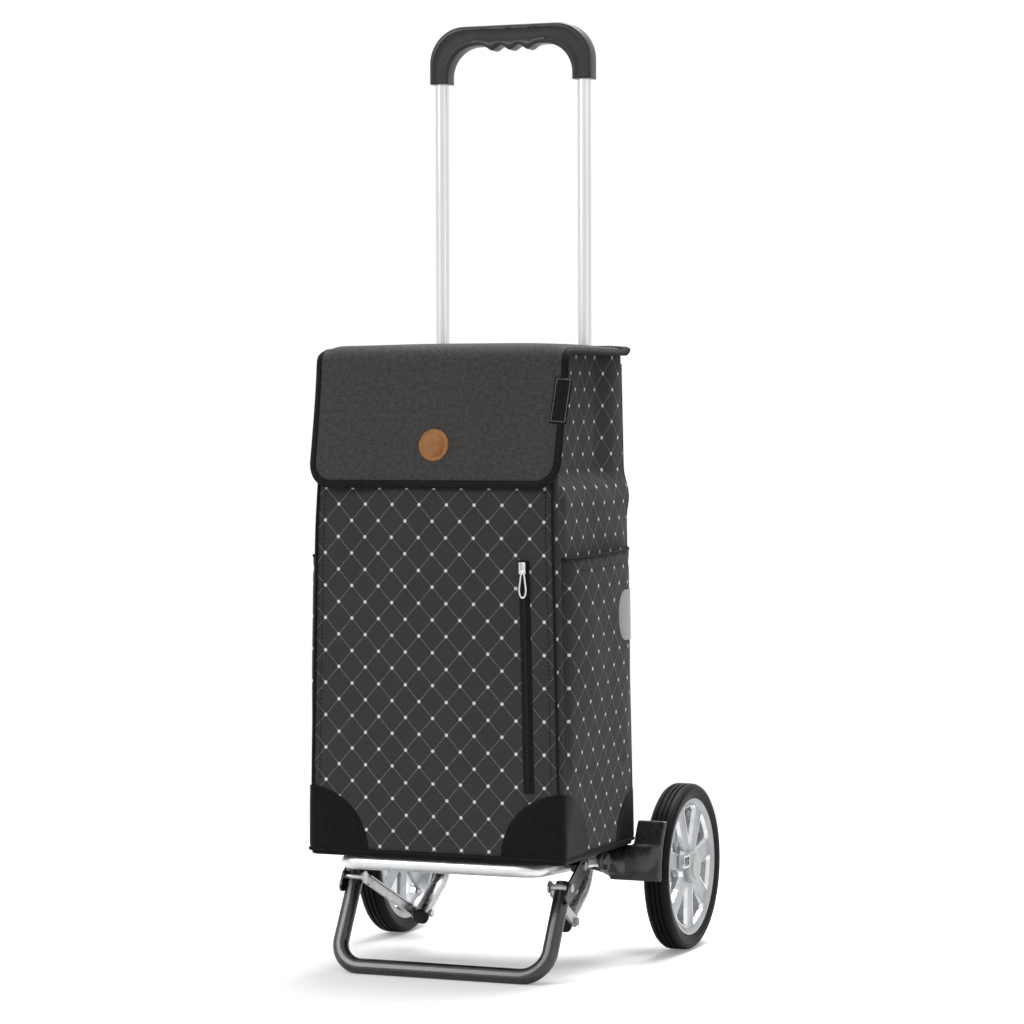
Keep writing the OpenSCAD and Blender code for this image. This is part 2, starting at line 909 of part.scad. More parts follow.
module side_pocket(side) {
    color("dimgray")
        from_axle()
            on_side(side)
                difference() {
                    pocket_wedge(pocket_bulge, pocket_wall, pocket_z);
                    translate([0, 0, 0.2])
                        pocket_wedge(pocket_bulge - pocket_wall, 0, pocket_z);
                    bag_lower(0.2, bag_z, shoulder_z);
                }
}

module patch_skin() {
    difference() {
        bag_lower(1.6, bag_z, bag_z + 92);
        bag_lower(0.2, bag_z - 1, bag_z + 93);
    }
}

module corner_patches() {
    color("black")
        from_axle()
            intersection() {
                patch_skin();
                both_sides() {
                    intersection() {
                        rod_y(bag_front_y - 5, bag_front_y + bag_edge_r, 76, bag_w / 2, bag_z);
                        translate([0, bag_front_y - 6, bag_z])
                            cube([bag_w, bag_edge_r + 10, 90]);
                    }
                    intersection() {
                        rod_x(bag_w / 2 - bag_edge_r, bag_w / 2 + 5, 76, bag_front_y, bag_z);
                        translate([0, bag_front_y, bag_z])
                            cube([bag_w, bag_depth, 90]);
                    }
                    intersection() {
                        rod_x(bag_w / 2 - bag_edge_r, bag_w / 2 + 5, 62, bag_back_y, bag_z);
                        translate([0, bag_front_y, bag_z])
                            cube([bag_w, bag_depth - bag_edge_r, 90]);
                    }
                }
            }
}

module reflector_patches() {
    patch_r = 24;
    patch_h = 59;
    patch_len = 64;
    patch_z = bag_z + 270;
    patch_y = bag_back_y - 15 - patch_len + patch_r;
    color("lightgray")
        from_axle()
            both_sides()
                intersection() {
                    difference() {
                        pocket_wedge(pocket_bulge + 1.2, pocket_wall + 1.2, pocket_z);
                        pocket_wedge(pocket_bulge + 0.2, pocket_wall + 0.2, pocket_z + 1);
                    }
                    difference() {
                        union() {
                            for (dz = [patch_r - patch_h / 2, patch_h / 2 - patch_r])
                                rod_x(bag_w / 4, bag_w, patch_r, patch_y, patch_z + dz);
                            translate([bag_w / 4, patch_y - patch_r, patch_z - patch_h / 2 + patch_r])
                                cube([bag_w, patch_r, patch_h - 2 * patch_r]);
                            translate([bag_w / 4, patch_y, patch_z - patch_h / 2])
                                cube([bag_w, patch_len - patch_r, patch_h]);
                        }
                        translate([0, patch_y - 2 * patch_r, patch_z - 2 * patch_r])
                            cube([bag_half(patch_z - patch_r) + 0.5, 4 * patch_r, 4 * patch_r]);
                    }
                }
}

module bag_piping() {
    pipe_r = 1.8;
    lift = (bag_edge_r + pipe_r + 0.1) * cos(45) - bag_edge_r;
    lean = atan(bag_taper);
    x0 = bag_w / 2 - bag_taper * 95 + lift;
    color("black")
        from_axle()
            both_sides()
                translate([x0, bag_front_y - lift, bag_z + 95])
                    rotate([0, -lean, 0])
                        cylinder(r = pipe_r, h = (shoulder_h - 97) / cos(lean));
}

module zip_frame() {
    from_axle()
        translate([zip_x, 0, zip_top_z])
            rotate([0, -zip_lean, 0])
                children();
}

module zip_tape() {
    color("black")
        zip_frame()
            translate([-zip_w / 2, zip_y, -zip_run])
                cube([zip_w, zip_t, zip_run]);
}

module zip_slider() {
    color("silver")
        zip_frame()
            translate([0, zip_y - 0.3, -slider_h - 2])
                difference() {
                    translate([-4, -slider_t, 0])
                        cube([8, slider_t, slider_h]);
                    translate([-2, -slider_t - 1, 3.5])
                        cube([4, 3.2, slider_h]);
                    rod_x(-6, 6, 0.9, -slider_t + 1.2, 2);
                }
}

module zip_pull() {
    color("silver")
        zip_frame()
            translate([0, zip_y - 0.3 - slider_t + 1.2, -slider_h])
                union() {
                    rod_x(-5.5, 5.5, 0.85, 0, 0);
                    both_sides()
                        translate([4.3, -1.6, -9])
                            cube([1.4, 2.4, 9.8]);
                    translate([-5.7, -1.6, -12])
                        cube([11.4, 1.6, 3.2]);
                    translate([-2.5, -1.6, -30])
                        cube([5, 1.6, 18.2]);
                }
}

module hang_loops() {
    loop_t = 1.9;
    color("black")
        from_axle()
            both_sides()
                for (z = [bag_top_z - 160, bag_z + 150])
                    intersection() {
                        translate([tube_x, tube_y, z])
                            difference() {
                                cylinder(r = tube_r + soft + loop_t, h = 26);
                                translate([0, 0, -1])
                                    cylinder(r = tube_r + soft, h = 28);
                            }
                        translate([0, bag_back_y, z - 1])
                            cube([2 * tube_x, 2 * tube_d, 30]);
                    }
}

// ---- flap ----

module flap_outline(inset) {
    x = flap_w / 2 - inset;
    low = flap_low_z + inset;
    r = flap_corner_r - inset;
    union() {
        translate([-x, low + r])
            square([2 * x, flap_z + 60 - low - r]);
        translate([-x + r, low])
            square([2 * x - 2 * r, r + 1]);
        translate([-x + r, low + r])
            circle(r = r);
        translate([x - r, low + r])
            circle(r = r);
    }
}

// section of the flap seen from the side: top, rounded front edge and drop
module flap_section(over) {
    y0 = flap_in_y - over;
    front = flap_out_y - over;
    top = flap_z + flap_t + over;
    r_out = flap_bend_r + flap_t + over;
    difference() {
        union() {
            translate([front, flap_low_z - 5])
                square([flap_hinge_y - front, top - r_out - flap_low_z + 5]);
            translate([front + r_out, top - r_out - 1])
                square([flap_hinge_y - front - r_out, r_out + 1]);
            translate([front + r_out, top - r_out])
                circle(r = r_out);
        }
        translate([flap_in_y + over, flap_low_z - 6])
            square([400, flap_z - flap_bend_r - flap_low_z + 6 - over]);
        translate([flap_in_y + flap_bend_r, flap_z - flap_bend_r - 1 - over])
            square([400, flap_bend_r + 1]);
        translate([flap_in_y + flap_bend_r, flap_z - flap_bend_r])
            circle(r = flap_bend_r - over);
    }
}

module flap_solid(over) {
    translate([-flap_w / 2, 0, 0])
        rotate([90, 0, 90])
            linear_extrude(height = flap_w)
                flap_section(over);
}

module flap_cut(inset) {
    translate([0, 100, 0])
        rotate([90, 0, 0])
            linear_extrude(height = 600)
                flap_outline(inset);
}

module flap_panel() {
    color("dimgray")
        from_axle()
            intersection() {
                flap_solid(0);
                flap_cut(binding_w);
            }
}

module flap_binding() {
    color("black")
        from_axle()
            difference() {
                intersection() {
                    flap_solid(binding_over);
                    flap_cut(0);
                }
                flap_cut(binding_w);
            }
}

module flap_badge() {
    color("peru")
        from_axle()
            rod_y(flap_out_y - badge_t, flap_out_y, badge_d / 2, 0, badge_z);
}

module flap_label() {
    color("black")
        from_axle()
            translate([flap_w / 2 - binding_w - 6, flap_out_y - badge_t, badge_z + 33])
                cube([18, badge_t - binding_over, 34]);
}

side_tube(-1);  // side_tube_left
side_tube(1);  // side_tube_right
tube_plug(-1);  // tube_plug_left
tube_plug(1);  // tube_plug_right
brace_upper();
brace_lower();
wheel_axle();
axle_housing(-1);  // axle_housing_left
axle_housing(1);  // axle_housing_right
clamp_collar(-1);  // clamp_collar_left
clamp_collar(1);  // clamp_collar_right
clamp_pins();
bow_pins();
link_pins();
bag_shell();
bag_base();
side_pocket(-1);  // side_pocket_left
side_pocket(1);  // side_pocket_right
corner_patches();
reflector_patches();
bag_piping();
zip_tape();
hang_loops();
flap_panel();
flap_binding();
flap_badge();
flap_label();
zip_slider();
zip_pull();
handle_grip();
slide_tube(-1);  // slide_tube_left
slide_tube(1);  // slide_tube_right
tube_glides();
grip_screws();
clamp_lever(-1);  // clamp_lever_left
clamp_lever(1);  // clamp_lever_right
carrying_bow();
stand_bow();
stand_plates();
stand_pivot_pins();
stand_link_rivets();
link(-1);  // link_left
link(1);  // link_right
tyre(-1);  // tyre_left
rim(-1);  // rim_left
bearings(-1);  // bearings_left
hub_cap(-1);  // hub_cap_left
hub_latch(-1);  // hub_latch_left
tyre(1);  // tyre_right
rim(1);  // rim_right
bearings(1);  // bearings_right
hub_cap(1);  // hub_cap_right
hub_latch(1);  // hub_latch_right
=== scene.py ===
"""Shopping trolley on wheels: soft goods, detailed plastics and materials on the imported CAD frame."""
import math

import bmesh
import bpy
from mathutils import Matrix, Vector, noise


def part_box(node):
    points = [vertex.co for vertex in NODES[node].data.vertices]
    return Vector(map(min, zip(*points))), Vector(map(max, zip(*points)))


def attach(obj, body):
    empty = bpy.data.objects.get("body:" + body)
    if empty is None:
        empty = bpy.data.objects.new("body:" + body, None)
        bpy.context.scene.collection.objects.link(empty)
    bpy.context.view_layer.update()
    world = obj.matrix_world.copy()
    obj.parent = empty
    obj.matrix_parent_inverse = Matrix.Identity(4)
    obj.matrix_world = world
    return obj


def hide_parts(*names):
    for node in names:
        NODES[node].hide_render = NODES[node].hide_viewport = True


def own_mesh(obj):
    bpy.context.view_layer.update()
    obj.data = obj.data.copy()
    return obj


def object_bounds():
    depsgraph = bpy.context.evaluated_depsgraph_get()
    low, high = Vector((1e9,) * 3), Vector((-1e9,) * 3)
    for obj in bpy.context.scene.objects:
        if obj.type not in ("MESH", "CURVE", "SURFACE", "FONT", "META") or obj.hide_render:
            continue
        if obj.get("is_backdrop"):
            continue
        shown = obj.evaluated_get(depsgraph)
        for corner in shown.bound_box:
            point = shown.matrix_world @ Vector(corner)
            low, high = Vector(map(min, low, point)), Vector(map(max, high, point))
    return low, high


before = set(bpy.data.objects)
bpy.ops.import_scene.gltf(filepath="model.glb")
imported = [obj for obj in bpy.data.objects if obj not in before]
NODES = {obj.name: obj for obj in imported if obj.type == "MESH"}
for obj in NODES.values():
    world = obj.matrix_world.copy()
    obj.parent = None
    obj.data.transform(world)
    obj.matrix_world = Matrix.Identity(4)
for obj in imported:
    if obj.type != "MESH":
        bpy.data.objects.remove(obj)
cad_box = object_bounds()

# ------------------------------------------------------------------ sizes, metres, from the CAD boxes
BAG_LO, BAG_HI = [Vector(c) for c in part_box("bag_shell")]
FRONT, BACK = BAG_LO.y, BAG_HI.y
BAG_Z, TOP_Z = BAG_LO.z, BAG_HI.z
WIDE = BAG_HI.x
DEPTH = BACK - FRONT
TAPER = 0.02153
EDGE = 0.007
GUSSET_Z = BAG_Z + 0.434
FLAP_LO, FLAP_HI = [Vector(c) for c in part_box("flap_binding")]
TUBE_X, TUBE_Y = 0.0922, 0.036


def clamp(v, lo=0.0, hi=1.0):
    return max(lo, min(hi, v))


def smooth(a, b, v):
    t = clamp((v - a) / (b - a))
    return t * t * (3 - 2 * t)


def bell(v, mid, width):
    return math.exp(-((v - mid) / width) ** 2)


def cad_corners(node):
    """The low and high corners of a CAD node's box."""
    return [Vector(c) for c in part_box(node)]


# ------------------------------------------------------------------ materials
def new_material(name):
    mat = bpy.data.materials.new(name)
    mat.use_nodes = True
    return mat, mat.node_tree.nodes, mat.node_tree.links, mat.node_tree.nodes["Principled BSDF"]


def mapped(nodes, links, stretch, uv=False):
    coord = nodes.new("ShaderNodeTexCoord")
    mapping = nodes.new("ShaderNodeMapping")
    mapping.inputs["Scale"].default_value = stretch
    links.new(coord.outputs["UV" if uv else "Object"], mapping.inputs["Vector"])
    return mapping.outputs["Vector"]


def noise_tex(nodes, links, vector, scale, detail=3.0, rough=0.55):
    tex = nodes.new("ShaderNodeTexNoise")
    tex.inputs["Scale"].default_value = scale
    tex.inputs["Detail"].default_value = detail
    tex.inputs["Roughness"].default_value = rough
    links.new(vector, tex.inputs["Vector"])
    return tex.outputs["Fac"]


def ramp(nodes, links, fac, stops):
    node = nodes.new("ShaderNodeValToRGB")
    ramp_ = node.color_ramp
    while len(ramp_.elements) < len(stops):
        ramp_.elements.new(0.5)
    for el, (pos, col) in zip(ramp_.elements, stops):
        el.position = pos
        el.color = (*col, 1)
    links.new(fac, node.inputs["Fac"])
    return node.outputs["Color"]


def ranged(nodes, links, fac, lo, hi, a=0.3, b=0.7):
    node = nodes.new("ShaderNodeMapRange")
    node.inputs["From Min"].default_value = a
    node.inputs["From Max"].default_value = b
    node.inputs["To Min"].default_value = lo
    node.inputs["To Max"].default_value = hi
    links.new(fac, node.inputs["Value"])
    return node.outputs["Result"]


def bump(nodes, links, height, bsdf, strength, distance):
    node = nodes.new("ShaderNodeBump")
    node.inputs["Strength"].default_value = strength
    node.inputs["Distance"].default_value = distance
    links.new(height, node.inputs["Height"])
    links.new(node.outputs["Normal"], bsdf.inputs["Normal"])


def surface(name, dark, light, scale, rough, metallic=0.0, grain=(400, 0.2, 0.0004),
            stretch=(1, 1, 1), specular=0.5):
    """A material whose colour, roughness and bump all vary at the scale of the real surface."""
    mat, nodes, links, bsdf = new_material(name)
    vec = mapped(nodes, links, stretch)
    base = noise_tex(nodes, links, vec, scale, 4.0)
    links.new(ramp(nodes, links, base, [(0.32, dark), (0.68, light)]), bsdf.inputs["Base Color"])
    fine = noise_tex(nodes, links, vec, grain[0], 3.0)
    links.new(ranged(nodes, links, fine, *rough), bsdf.inputs["Roughness"])
    bump(nodes, links, fine, bsdf, grain[1], grain[2])
    bsdf.inputs["Metallic"].default_value = metallic
    bsdf.inputs["Specular IOR Level"].default_value = specular
    return mat


def maths(nodes, links, op, a, b=None):
    node = nodes.new("ShaderNodeMath")
    node.operation = op
    for k, v in enumerate((a, b)):
        if v is None:
            continue
        if isinstance(v, (int, float)):
            node.inputs[k].default_value = v
        else:
            links.new(v, node.inputs[k])
    return node.outputs["Value"]


def mixed(nodes, links, fac, first, second):
    node = nodes.new("ShaderNodeMixRGB")
    for socket, value in (("Fac", fac), ("Color1", first), ("Color2", second)):
        links.new(value, node.inputs[socket])
    return node.outputs["Color"]


def waves(nodes, links, vector, direction, scale, distortion=0.0):
    node = nodes.new("ShaderNodeTexWave")
    node.bands_direction = direction
    node.inputs["Scale"].default_value = scale
    node.inputs["Distortion"].default_value = distortion
    links.new(vector, node.inputs["Vector"])
    return node.outputs["Fac"]


def cloth_sheen(bsdf, weight, rough):
    bsdf.inputs["Sheen Weight"].default_value = weight
    bsdf.inputs["Sheen Roughness"].default_value = rough
    bsdf.inputs["Specular IOR Level"].default_value = 0.12


CELL_W, CELL_H = 0.034, 0.0375          # one diamond of the print


def diamond_cloth(name):
    """Charcoal plain weave with thin pale diamond lines and a white dot at every crossing."""
    mat, nodes, links, bsdf = new_material(name)
    coord = nodes.new("ShaderNodeTexCoord")
    split = nodes.new("ShaderNodeSeparateXYZ")
    links.new(coord.outputs["UV"], split.inputs["Vector"])
    u, v = split.outputs["X"], split.outputs["Y"]

    def m(*args):
        return maths(nodes, links, *args)

    def shade(dark, light):
        return ramp(nodes, links, flecks, [(0.3, dark), (0.7, light)])
    up, vp = m("DIVIDE", u, CELL_W), m("DIVIDE", v, CELL_H)
    a, b = m("ADD", up, vp), m("SUBTRACT", up, vp)
    da = m("SUBTRACT", a, m("ROUND", a))
    db = m("SUBTRACT", b, m("ROUND", b))
    near_line = m("MINIMUM", m("ABSOLUTE", da), m("ABSOLUTE", db))
    ox = m("MULTIPLY", m("ADD", da, db), CELL_W / 2)
    oy = m("MULTIPLY", m("SUBTRACT", da, db), CELL_H / 2)
    dist = m("SQRT", m("ADD", m("MULTIPLY", ox, ox), m("MULTIPLY", oy, oy)))
    line = ranged(nodes, links, near_line, 1.0, 0.0, 0.010, 0.026)
    dot = ranged(nodes, links, dist, 1.0, 0.0, 0.0014, 0.0024)
    uv = mapped(nodes, links, (1, 1, 1), True)
    flecks = noise_tex(nodes, links, uv, 900, 2.0)
    cloudy = noise_tex(nodes, links, uv, 26, 5.0)
    cloth = shade((0.020, 0.019, 0.018), (0.060, 0.058, 0.055))
    worn = mixed(nodes, links, ranged(nodes, links, cloudy, 0.0, 0.22), cloth,
                 shade((0.035, 0.034, 0.032), (0.090, 0.087, 0.083)))
    lined = mixed(nodes, links, m("MULTIPLY", line, ranged(nodes, links, flecks, 0.25, 0.85)), worn,
                  shade((0.15, 0.147, 0.14), (0.27, 0.265, 0.255)))
    dotted = mixed(nodes, links, dot, lined, shade((0.62, 0.62, 0.61), (0.80, 0.80, 0.79)))
    links.new(dotted, bsdf.inputs["Base Color"])
    weave = m("MAXIMUM", waves(nodes, links, uv, "X", 330), waves(nodes, links, uv, "Y", 330))
    raised = m("ADD", m("MULTIPLY", weave, 0.35), m("MULTIPLY", m("ADD", dot, line), 0.5))
    bump(nodes, links, raised, bsdf, 0.35, 0.0004)
    links.new(ranged(nodes, links, flecks, 0.72, 0.92), bsdf.inputs["Roughness"])
    cloth_sheen(bsdf, 0.04, 0.45)
    return mat


def mottled_cloth(name):
    """The flap's mottled grey cloth: a fine weave with darker and paler clouds."""
    mat, nodes, links, bsdf = new_material(name)
    uv = mapped(nodes, links, (1, 1, 1), True)
    cloud = noise_tex(nodes, links, uv, 190, 6.0, 0.75)
    flecks = noise_tex(nodes, links, uv, 750, 2.0)
    deep = ramp(nodes, links, flecks, [(0.3, (0.026, 0.025, 0.024)), (0.7, (0.056, 0.054, 0.051))])
    pale = ramp(nodes, links, flecks, [(0.3, (0.048, 0.046, 0.044)), (0.7, (0.100, 0.097, 0.092))])
    clouded = mixed(nodes, links, ranged(nodes, links, cloud, 0.0, 1.0, 0.36, 0.66), deep, pale)
    links.new(clouded, bsdf.inputs["Base Color"])
    bump(nodes, links, waves(nodes, links, uv, "DIAGONAL", 280, 1.5), bsdf, 0.25, 0.0004)
    links.new(ranged(nodes, links, flecks, 0.70, 0.90), bsdf.inputs["Roughness"])
    cloth_sheen(bsdf, 0.06, 0.4)
    return mat


CLOTH = diamond_cloth("diamond_cloth")
FLAP_CLOTH = mottled_cloth("mottled_cloth")
LINING = surface("lining", (0.006, 0.006, 0.006), (0.014, 0.014, 0.014), 300, (0.6, 0.8), specular=0.12)
TAPE = surface("woven_tape", (0.004, 0.004, 0.0045), (0.012, 0.012, 0.0125), 260, (0.55, 0.75),
               grain=(900, 0.5, 0.0005), specular=0.10)
LEATHER = surface("faux_leather", (0.0025, 0.0025, 0.003), (0.006, 0.006, 0.0065), 90, (0.32, 0.50),
                  grain=(520, 0.30, 0.0004), specular=0.10)
BADGE = surface("tan_leather", (0.235, 0.085, 0.020), (0.365, 0.155, 0.048), 120, (0.42, 0.60),
                grain=(700, 0.4, 0.0003), specular=0.3)
THREAD = surface("grey_thread", (0.22, 0.21, 0.20), (0.36, 0.35, 0.33), 2500, (0.6, 0.8), specular=0.2)
TAN_THREAD = surface("tan_thread", (0.50, 0.25, 0.10), (0.66, 0.38, 0.18), 2500, (0.6, 0.8), specular=0.2)
FILM = surface("reflector_film", (0.23, 0.23, 0.24), (0.30, 0.30, 0.31), 700, (0.26, 0.40),
               grain=(1400, 0.4, 0.0003), specular=0.35)
ALU = surface("satin_aluminium", (0.63, 0.64, 0.65), (0.75, 0.76, 0.77), 60, (0.24, 0.34), 1.0,
              grain=(260, 0.10, 0.0003), stretch=(1, 1, 0.03))
BRIGHT = surface("polished_aluminium", (0.72, 0.73, 0.74), (0.84, 0.85, 0.86), 40, (0.26, 0.38), 0.75,
                 grain=(300, 0.06, 0.0002))
STEEL = surface("zinc_steel", (0.44, 0.44, 0.45), (0.60, 0.60, 0.61), 130, (0.26, 0.42), 1.0,
                grain=(500, 0.12, 0.0002))
CHROME = surface("chrome", (0.62, 0.63, 0.64), (0.74, 0.75, 0.76), 90, (0.08, 0.16), 1.0,
                 grain=(300, 0.05, 0.0002))
BLACK_STEEL = surface("black_paint", (0.010, 0.010, 0.0105), (0.022, 0.022, 0.023), 70, (0.18, 0.28),
                      grain=(600, 0.15, 0.0003), specular=0.75)
BLACK = surface("black_plastic", (0.006, 0.006, 0.0065), (0.014, 0.014, 0.015), 90, (0.34, 0.48),
                grain=(900, 0.22, 0.0002), specular=0.28)
GLOSS = surface("gloss_plastic", (0.010, 0.010, 0.0105), (0.019, 0.019, 0.0195), 40, (0.20, 0.30),
                grain=(160, 0.05, 0.0004), specular=0.85)
GRIP = surface("grip_plastic", (0.010, 0.010, 0.011), (0.022, 0.022, 0.023), 80, (0.28, 0.42),
               grain=(800, 0.25, 0.0003), specular=0.4)
INSET = surface("grip_inset", (0.022, 0.022, 0.023), (0.042, 0.042, 0.043), 400, (0.5, 0.66),
                grain=(1100, 0.7, 0.0005), specular=0.3)
RUBBER = surface("tyre_rubber", (0.0022, 0.0022, 0.0022), (0.0055, 0.0052, 0.0050), 70, (0.36, 0.56),
                 grain=(500, 0.35, 0.0004), specular=0.11)
RIM = surface("silver_plastic", (0.36, 0.37, 0.385), (0.46, 0.47, 0.485), 50, (0.28, 0.40), 0.3,
              grain=(900, 0.12, 0.0002), specular=0.4)
# the rim's own silver plastic on the window bevels, made brighter and shinier: painted highlight on the bevel
# edges
PAINTED_HIGHLIGHT_FACET = surface("painted_highlight_facet", (0.66, 0.67, 0.68), (0.80, 0.81, 0.82), 70, (0.12, 0.22), 0.8,
                grain=(600, 0.08, 0.0002))
CAP = surface("grey_cap", (0.44, 0.45, 0.44), (0.56, 0.57, 0.56), 120, (0.36, 0.50),
              grain=(700, 0.15, 0.0002), specular=0.35)


# ------------------------------------------------------------------ mesh helpers
def finish_object(obj, material, body, smooth_shade=True, fold=False):
    """Gives a piece its material, shading and body, and its own copy of its mesh if asked."""
    obj.data.materials.append(material)
    for poly in obj.data.polygons:
        poly.use_smooth = smooth_shade
    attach(obj, body)
    if fold:
        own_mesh(obj)
    return obj


def mesh_object(name, verts, faces, uvs=None):
    mesh = bpy.data.meshes.new(name)
    mesh.from_pydata([tuple(v) for v in verts], [], faces)
    if uvs:
        layer = mesh.uv_layers.new(name="UVMap")
        for loop in mesh.loops:
            layer.data[loop.index].uv = uvs[loop.vertex_index]
    obj = bpy.data.objects.new(name, mesh)
    bpy.context.scene.collection.objects.link(obj)
    return obj


def grid_mesh(cols, rows, fn):
    """fn(i, j) gives (point, uv) for 0..cols and 0..rows; normals point along dU x dV."""
    verts, uvs, faces = [], [], []
    for j in range(rows + 1):
        for i in range(cols + 1):
            p, uv = fn(i, j)
            verts.append(p)
            uvs.append(uv)
    w = cols + 1
    for j in range(rows):
        for i in range(cols):
            faces.append((j * w + i, j * w + i + 1, (j + 1) * w + i + 1, (j + 1) * w + i))
    return verts, faces, uvs


def ring_faces(rings, n, base=0, closed=False):
    """Quads between rings of n points each, laid one after another from vertex base."""
    faces = []
    for j in range(rings if closed else rings - 1):
        j2 = (j + 1) % rings
        for k in range(n):
            k2 = (k + 1) % n
            faces.append((base + j * n + k, base + j * n + k2, base + j2 * n + k2, base + j2 * n + k))
    return faces


def recalc_normals(obj):
    bm = bmesh.new()
    bm.from_mesh(obj.data)
    bmesh.ops.recalc_face_normals(bm, faces=bm.faces)
    bm.to_mesh(obj.data)
    bm.free()


def rounded(angle, power):
    """Cosine and sine pulled towards a square."""
    ca, sa = math.cos(angle), math.sin(angle)
    return math.copysign(abs(ca) ** power, ca), math.copysign(abs(sa) ** power, sa)


def apply_modifiers(obj):
    bpy.context.view_layer.update()
    graph = bpy.context.evaluated_depsgraph_get()
    mesh = bpy.data.meshes.new_from_object(obj.evaluated_get(graph))
    obj.modifiers.clear()
    old = obj.data
    obj.data = mesh
    bpy.data.meshes.remove(old)


def thicken(obj, thickness, offset=-1.0, rim_mat=0, inner_mat=0):
    mod = obj.modifiers.new("thick", "SOLIDIFY")
    mod.thickness = thickness
    mod.offset = offset
    mod.material_offset = inner_mat
    mod.material_offset_rim = rim_mat
    apply_modifiers(obj)


def cloth_piece(obj, cloth, thickness, body, node):
    """A lined cloth piece: printed outside, plain lining inside and on the cut edges."""
    obj.data.materials.append(cloth)
    obj.data.materials.append(LINING)
    thicken(obj, thickness, -1.0, 1, 1)
    for poly in obj.data.polygons:
        poly.use_smooth = True
    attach(obj, body)
    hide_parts(node)
    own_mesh(obj)


def sweep(name, centres, normals, sides, profile, closed=False):
    """Sweeps a closed profile of (along side, along normal) points along centres."""
    n, count = len(profile), len(centres)
    verts = [c + sd * a + nrm * b for c, nrm, sd in zip(centres, normals, sides) for a, b in profile]
    faces = ring_faces(count, n, closed=closed)
    if not closed:
        faces.append(tuple(reversed(range(n))))
        faces.append(tuple((count - 1) * n + i for i in range(n)))
    obj = mesh_object(name, verts, faces)
    recalc_normals(obj)
    return obj


def tube(name, points, r, closed=False):
    """A round thread or rod along points."""
    pts = [Vector(p) for p in points]
    normals, sides = [], []
    ref = None
    for k, p in enumerate(pts):
        a = pts[k - 1] if (k or closed) else p
        b = pts[(k + 1) % len(pts)] if (k < len(pts) - 1 or closed) else p
        t = (b - a).normalized()
        if ref is None:
            ref = t.orthogonal()
        ref = (ref - t * ref.dot(t)).normalized()
        normals.append(ref.copy())
        sides.append(t.cross(ref))
    turns = [2 * math.pi * k / 8 for k in range(8)]
    return sweep(name, pts, normals, sides, [(r * math.cos(a), r * math.sin(a)) for a in turns], closed)


def join(name, objs):
    """One object from several, which go."""
    verts, faces = [], []
    for o in objs:
        base = len(verts)
        verts += [v.co.copy() for v in o.data.vertices]
        faces += [tuple(base + i for i in p.vertices) for p in o.data.polygons]
        mesh = o.data
        bpy.data.objects.remove(o)
        bpy.data.meshes.remove(mesh)
    return mesh_object(name, verts, faces)


def stitches(name, pairs, r=0.00045):
    """Short rounded threads; pairs are (start, end, normal)."""
    verts, faces = [], []
    for a, b, nrm in pairs:
        t = (b - a).normalized()
        s = t.cross(nrm).normalized()
        base = len(verts)
        for f, w in ((0.0, 0.35), (0.18, 0.95), (0.5, 1.1), (0.82, 0.95), (1.0, 0.35)):
            c = a.lerp(b, f)
            for k in range(6):
                q = math.pi * k / 3
                verts.append(c + (s * math.cos(q) + nrm * math.sin(q)) * r * w)
        faces += ring_faces(5, 6, base)
        faces.append(tuple(base + i for i in reversed(range(6))))
        faces.append(tuple(base + 24 + i for i in range(6)))
    return mesh_object(name, verts, faces)


def stitch_run(points, normals, length=0.0026, gap=0.0014):
    """Cuts a polyline into stitches."""
    out = []
    total = [0.0]
    for a, b in zip(points, points[1:]):
        total.append(total[-1] + (b - a).length)

    def at(d):
        k = 0
        while k < len(total) - 2 and total[k + 1] < d:
            k += 1
        f = (d - total[k]) / max(1e-9, total[k + 1] - total[k])
        return points[k].lerp(points[k + 1], f), normals[k]
    d = 0.0
    while d + length < total[-1]:
        p, nrm = at(d)
        q, _ = at(d + length)
        out.append((p, q, nrm))
        d += length + gap
    return out


# ------------------------------------------------------------------ the bag's surface
def half(z):
    return WIDE - TAPER * (z - BAG_Z)


def lean(x, z):
    """How far the front leans back above the zip, more at its right-hand corner."""
    return 0.021 * smooth(0.50, 0.74, z) + 0.011 * smooth(0.03, 0.155, x) * smooth(0.57, 0.71, z)


def side_puff(d, z):
    """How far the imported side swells, d behind the front edge."""
    swell = smooth(0.0, 0.022, d) * (1 - smooth(DEPTH - 0.04, DEPTH - 0.002, d))
    return 0.0042 * swell * smooth(BAG_Z, BAG_Z + 0.12, z) * (1 - smooth(0.51, 0.575, z))


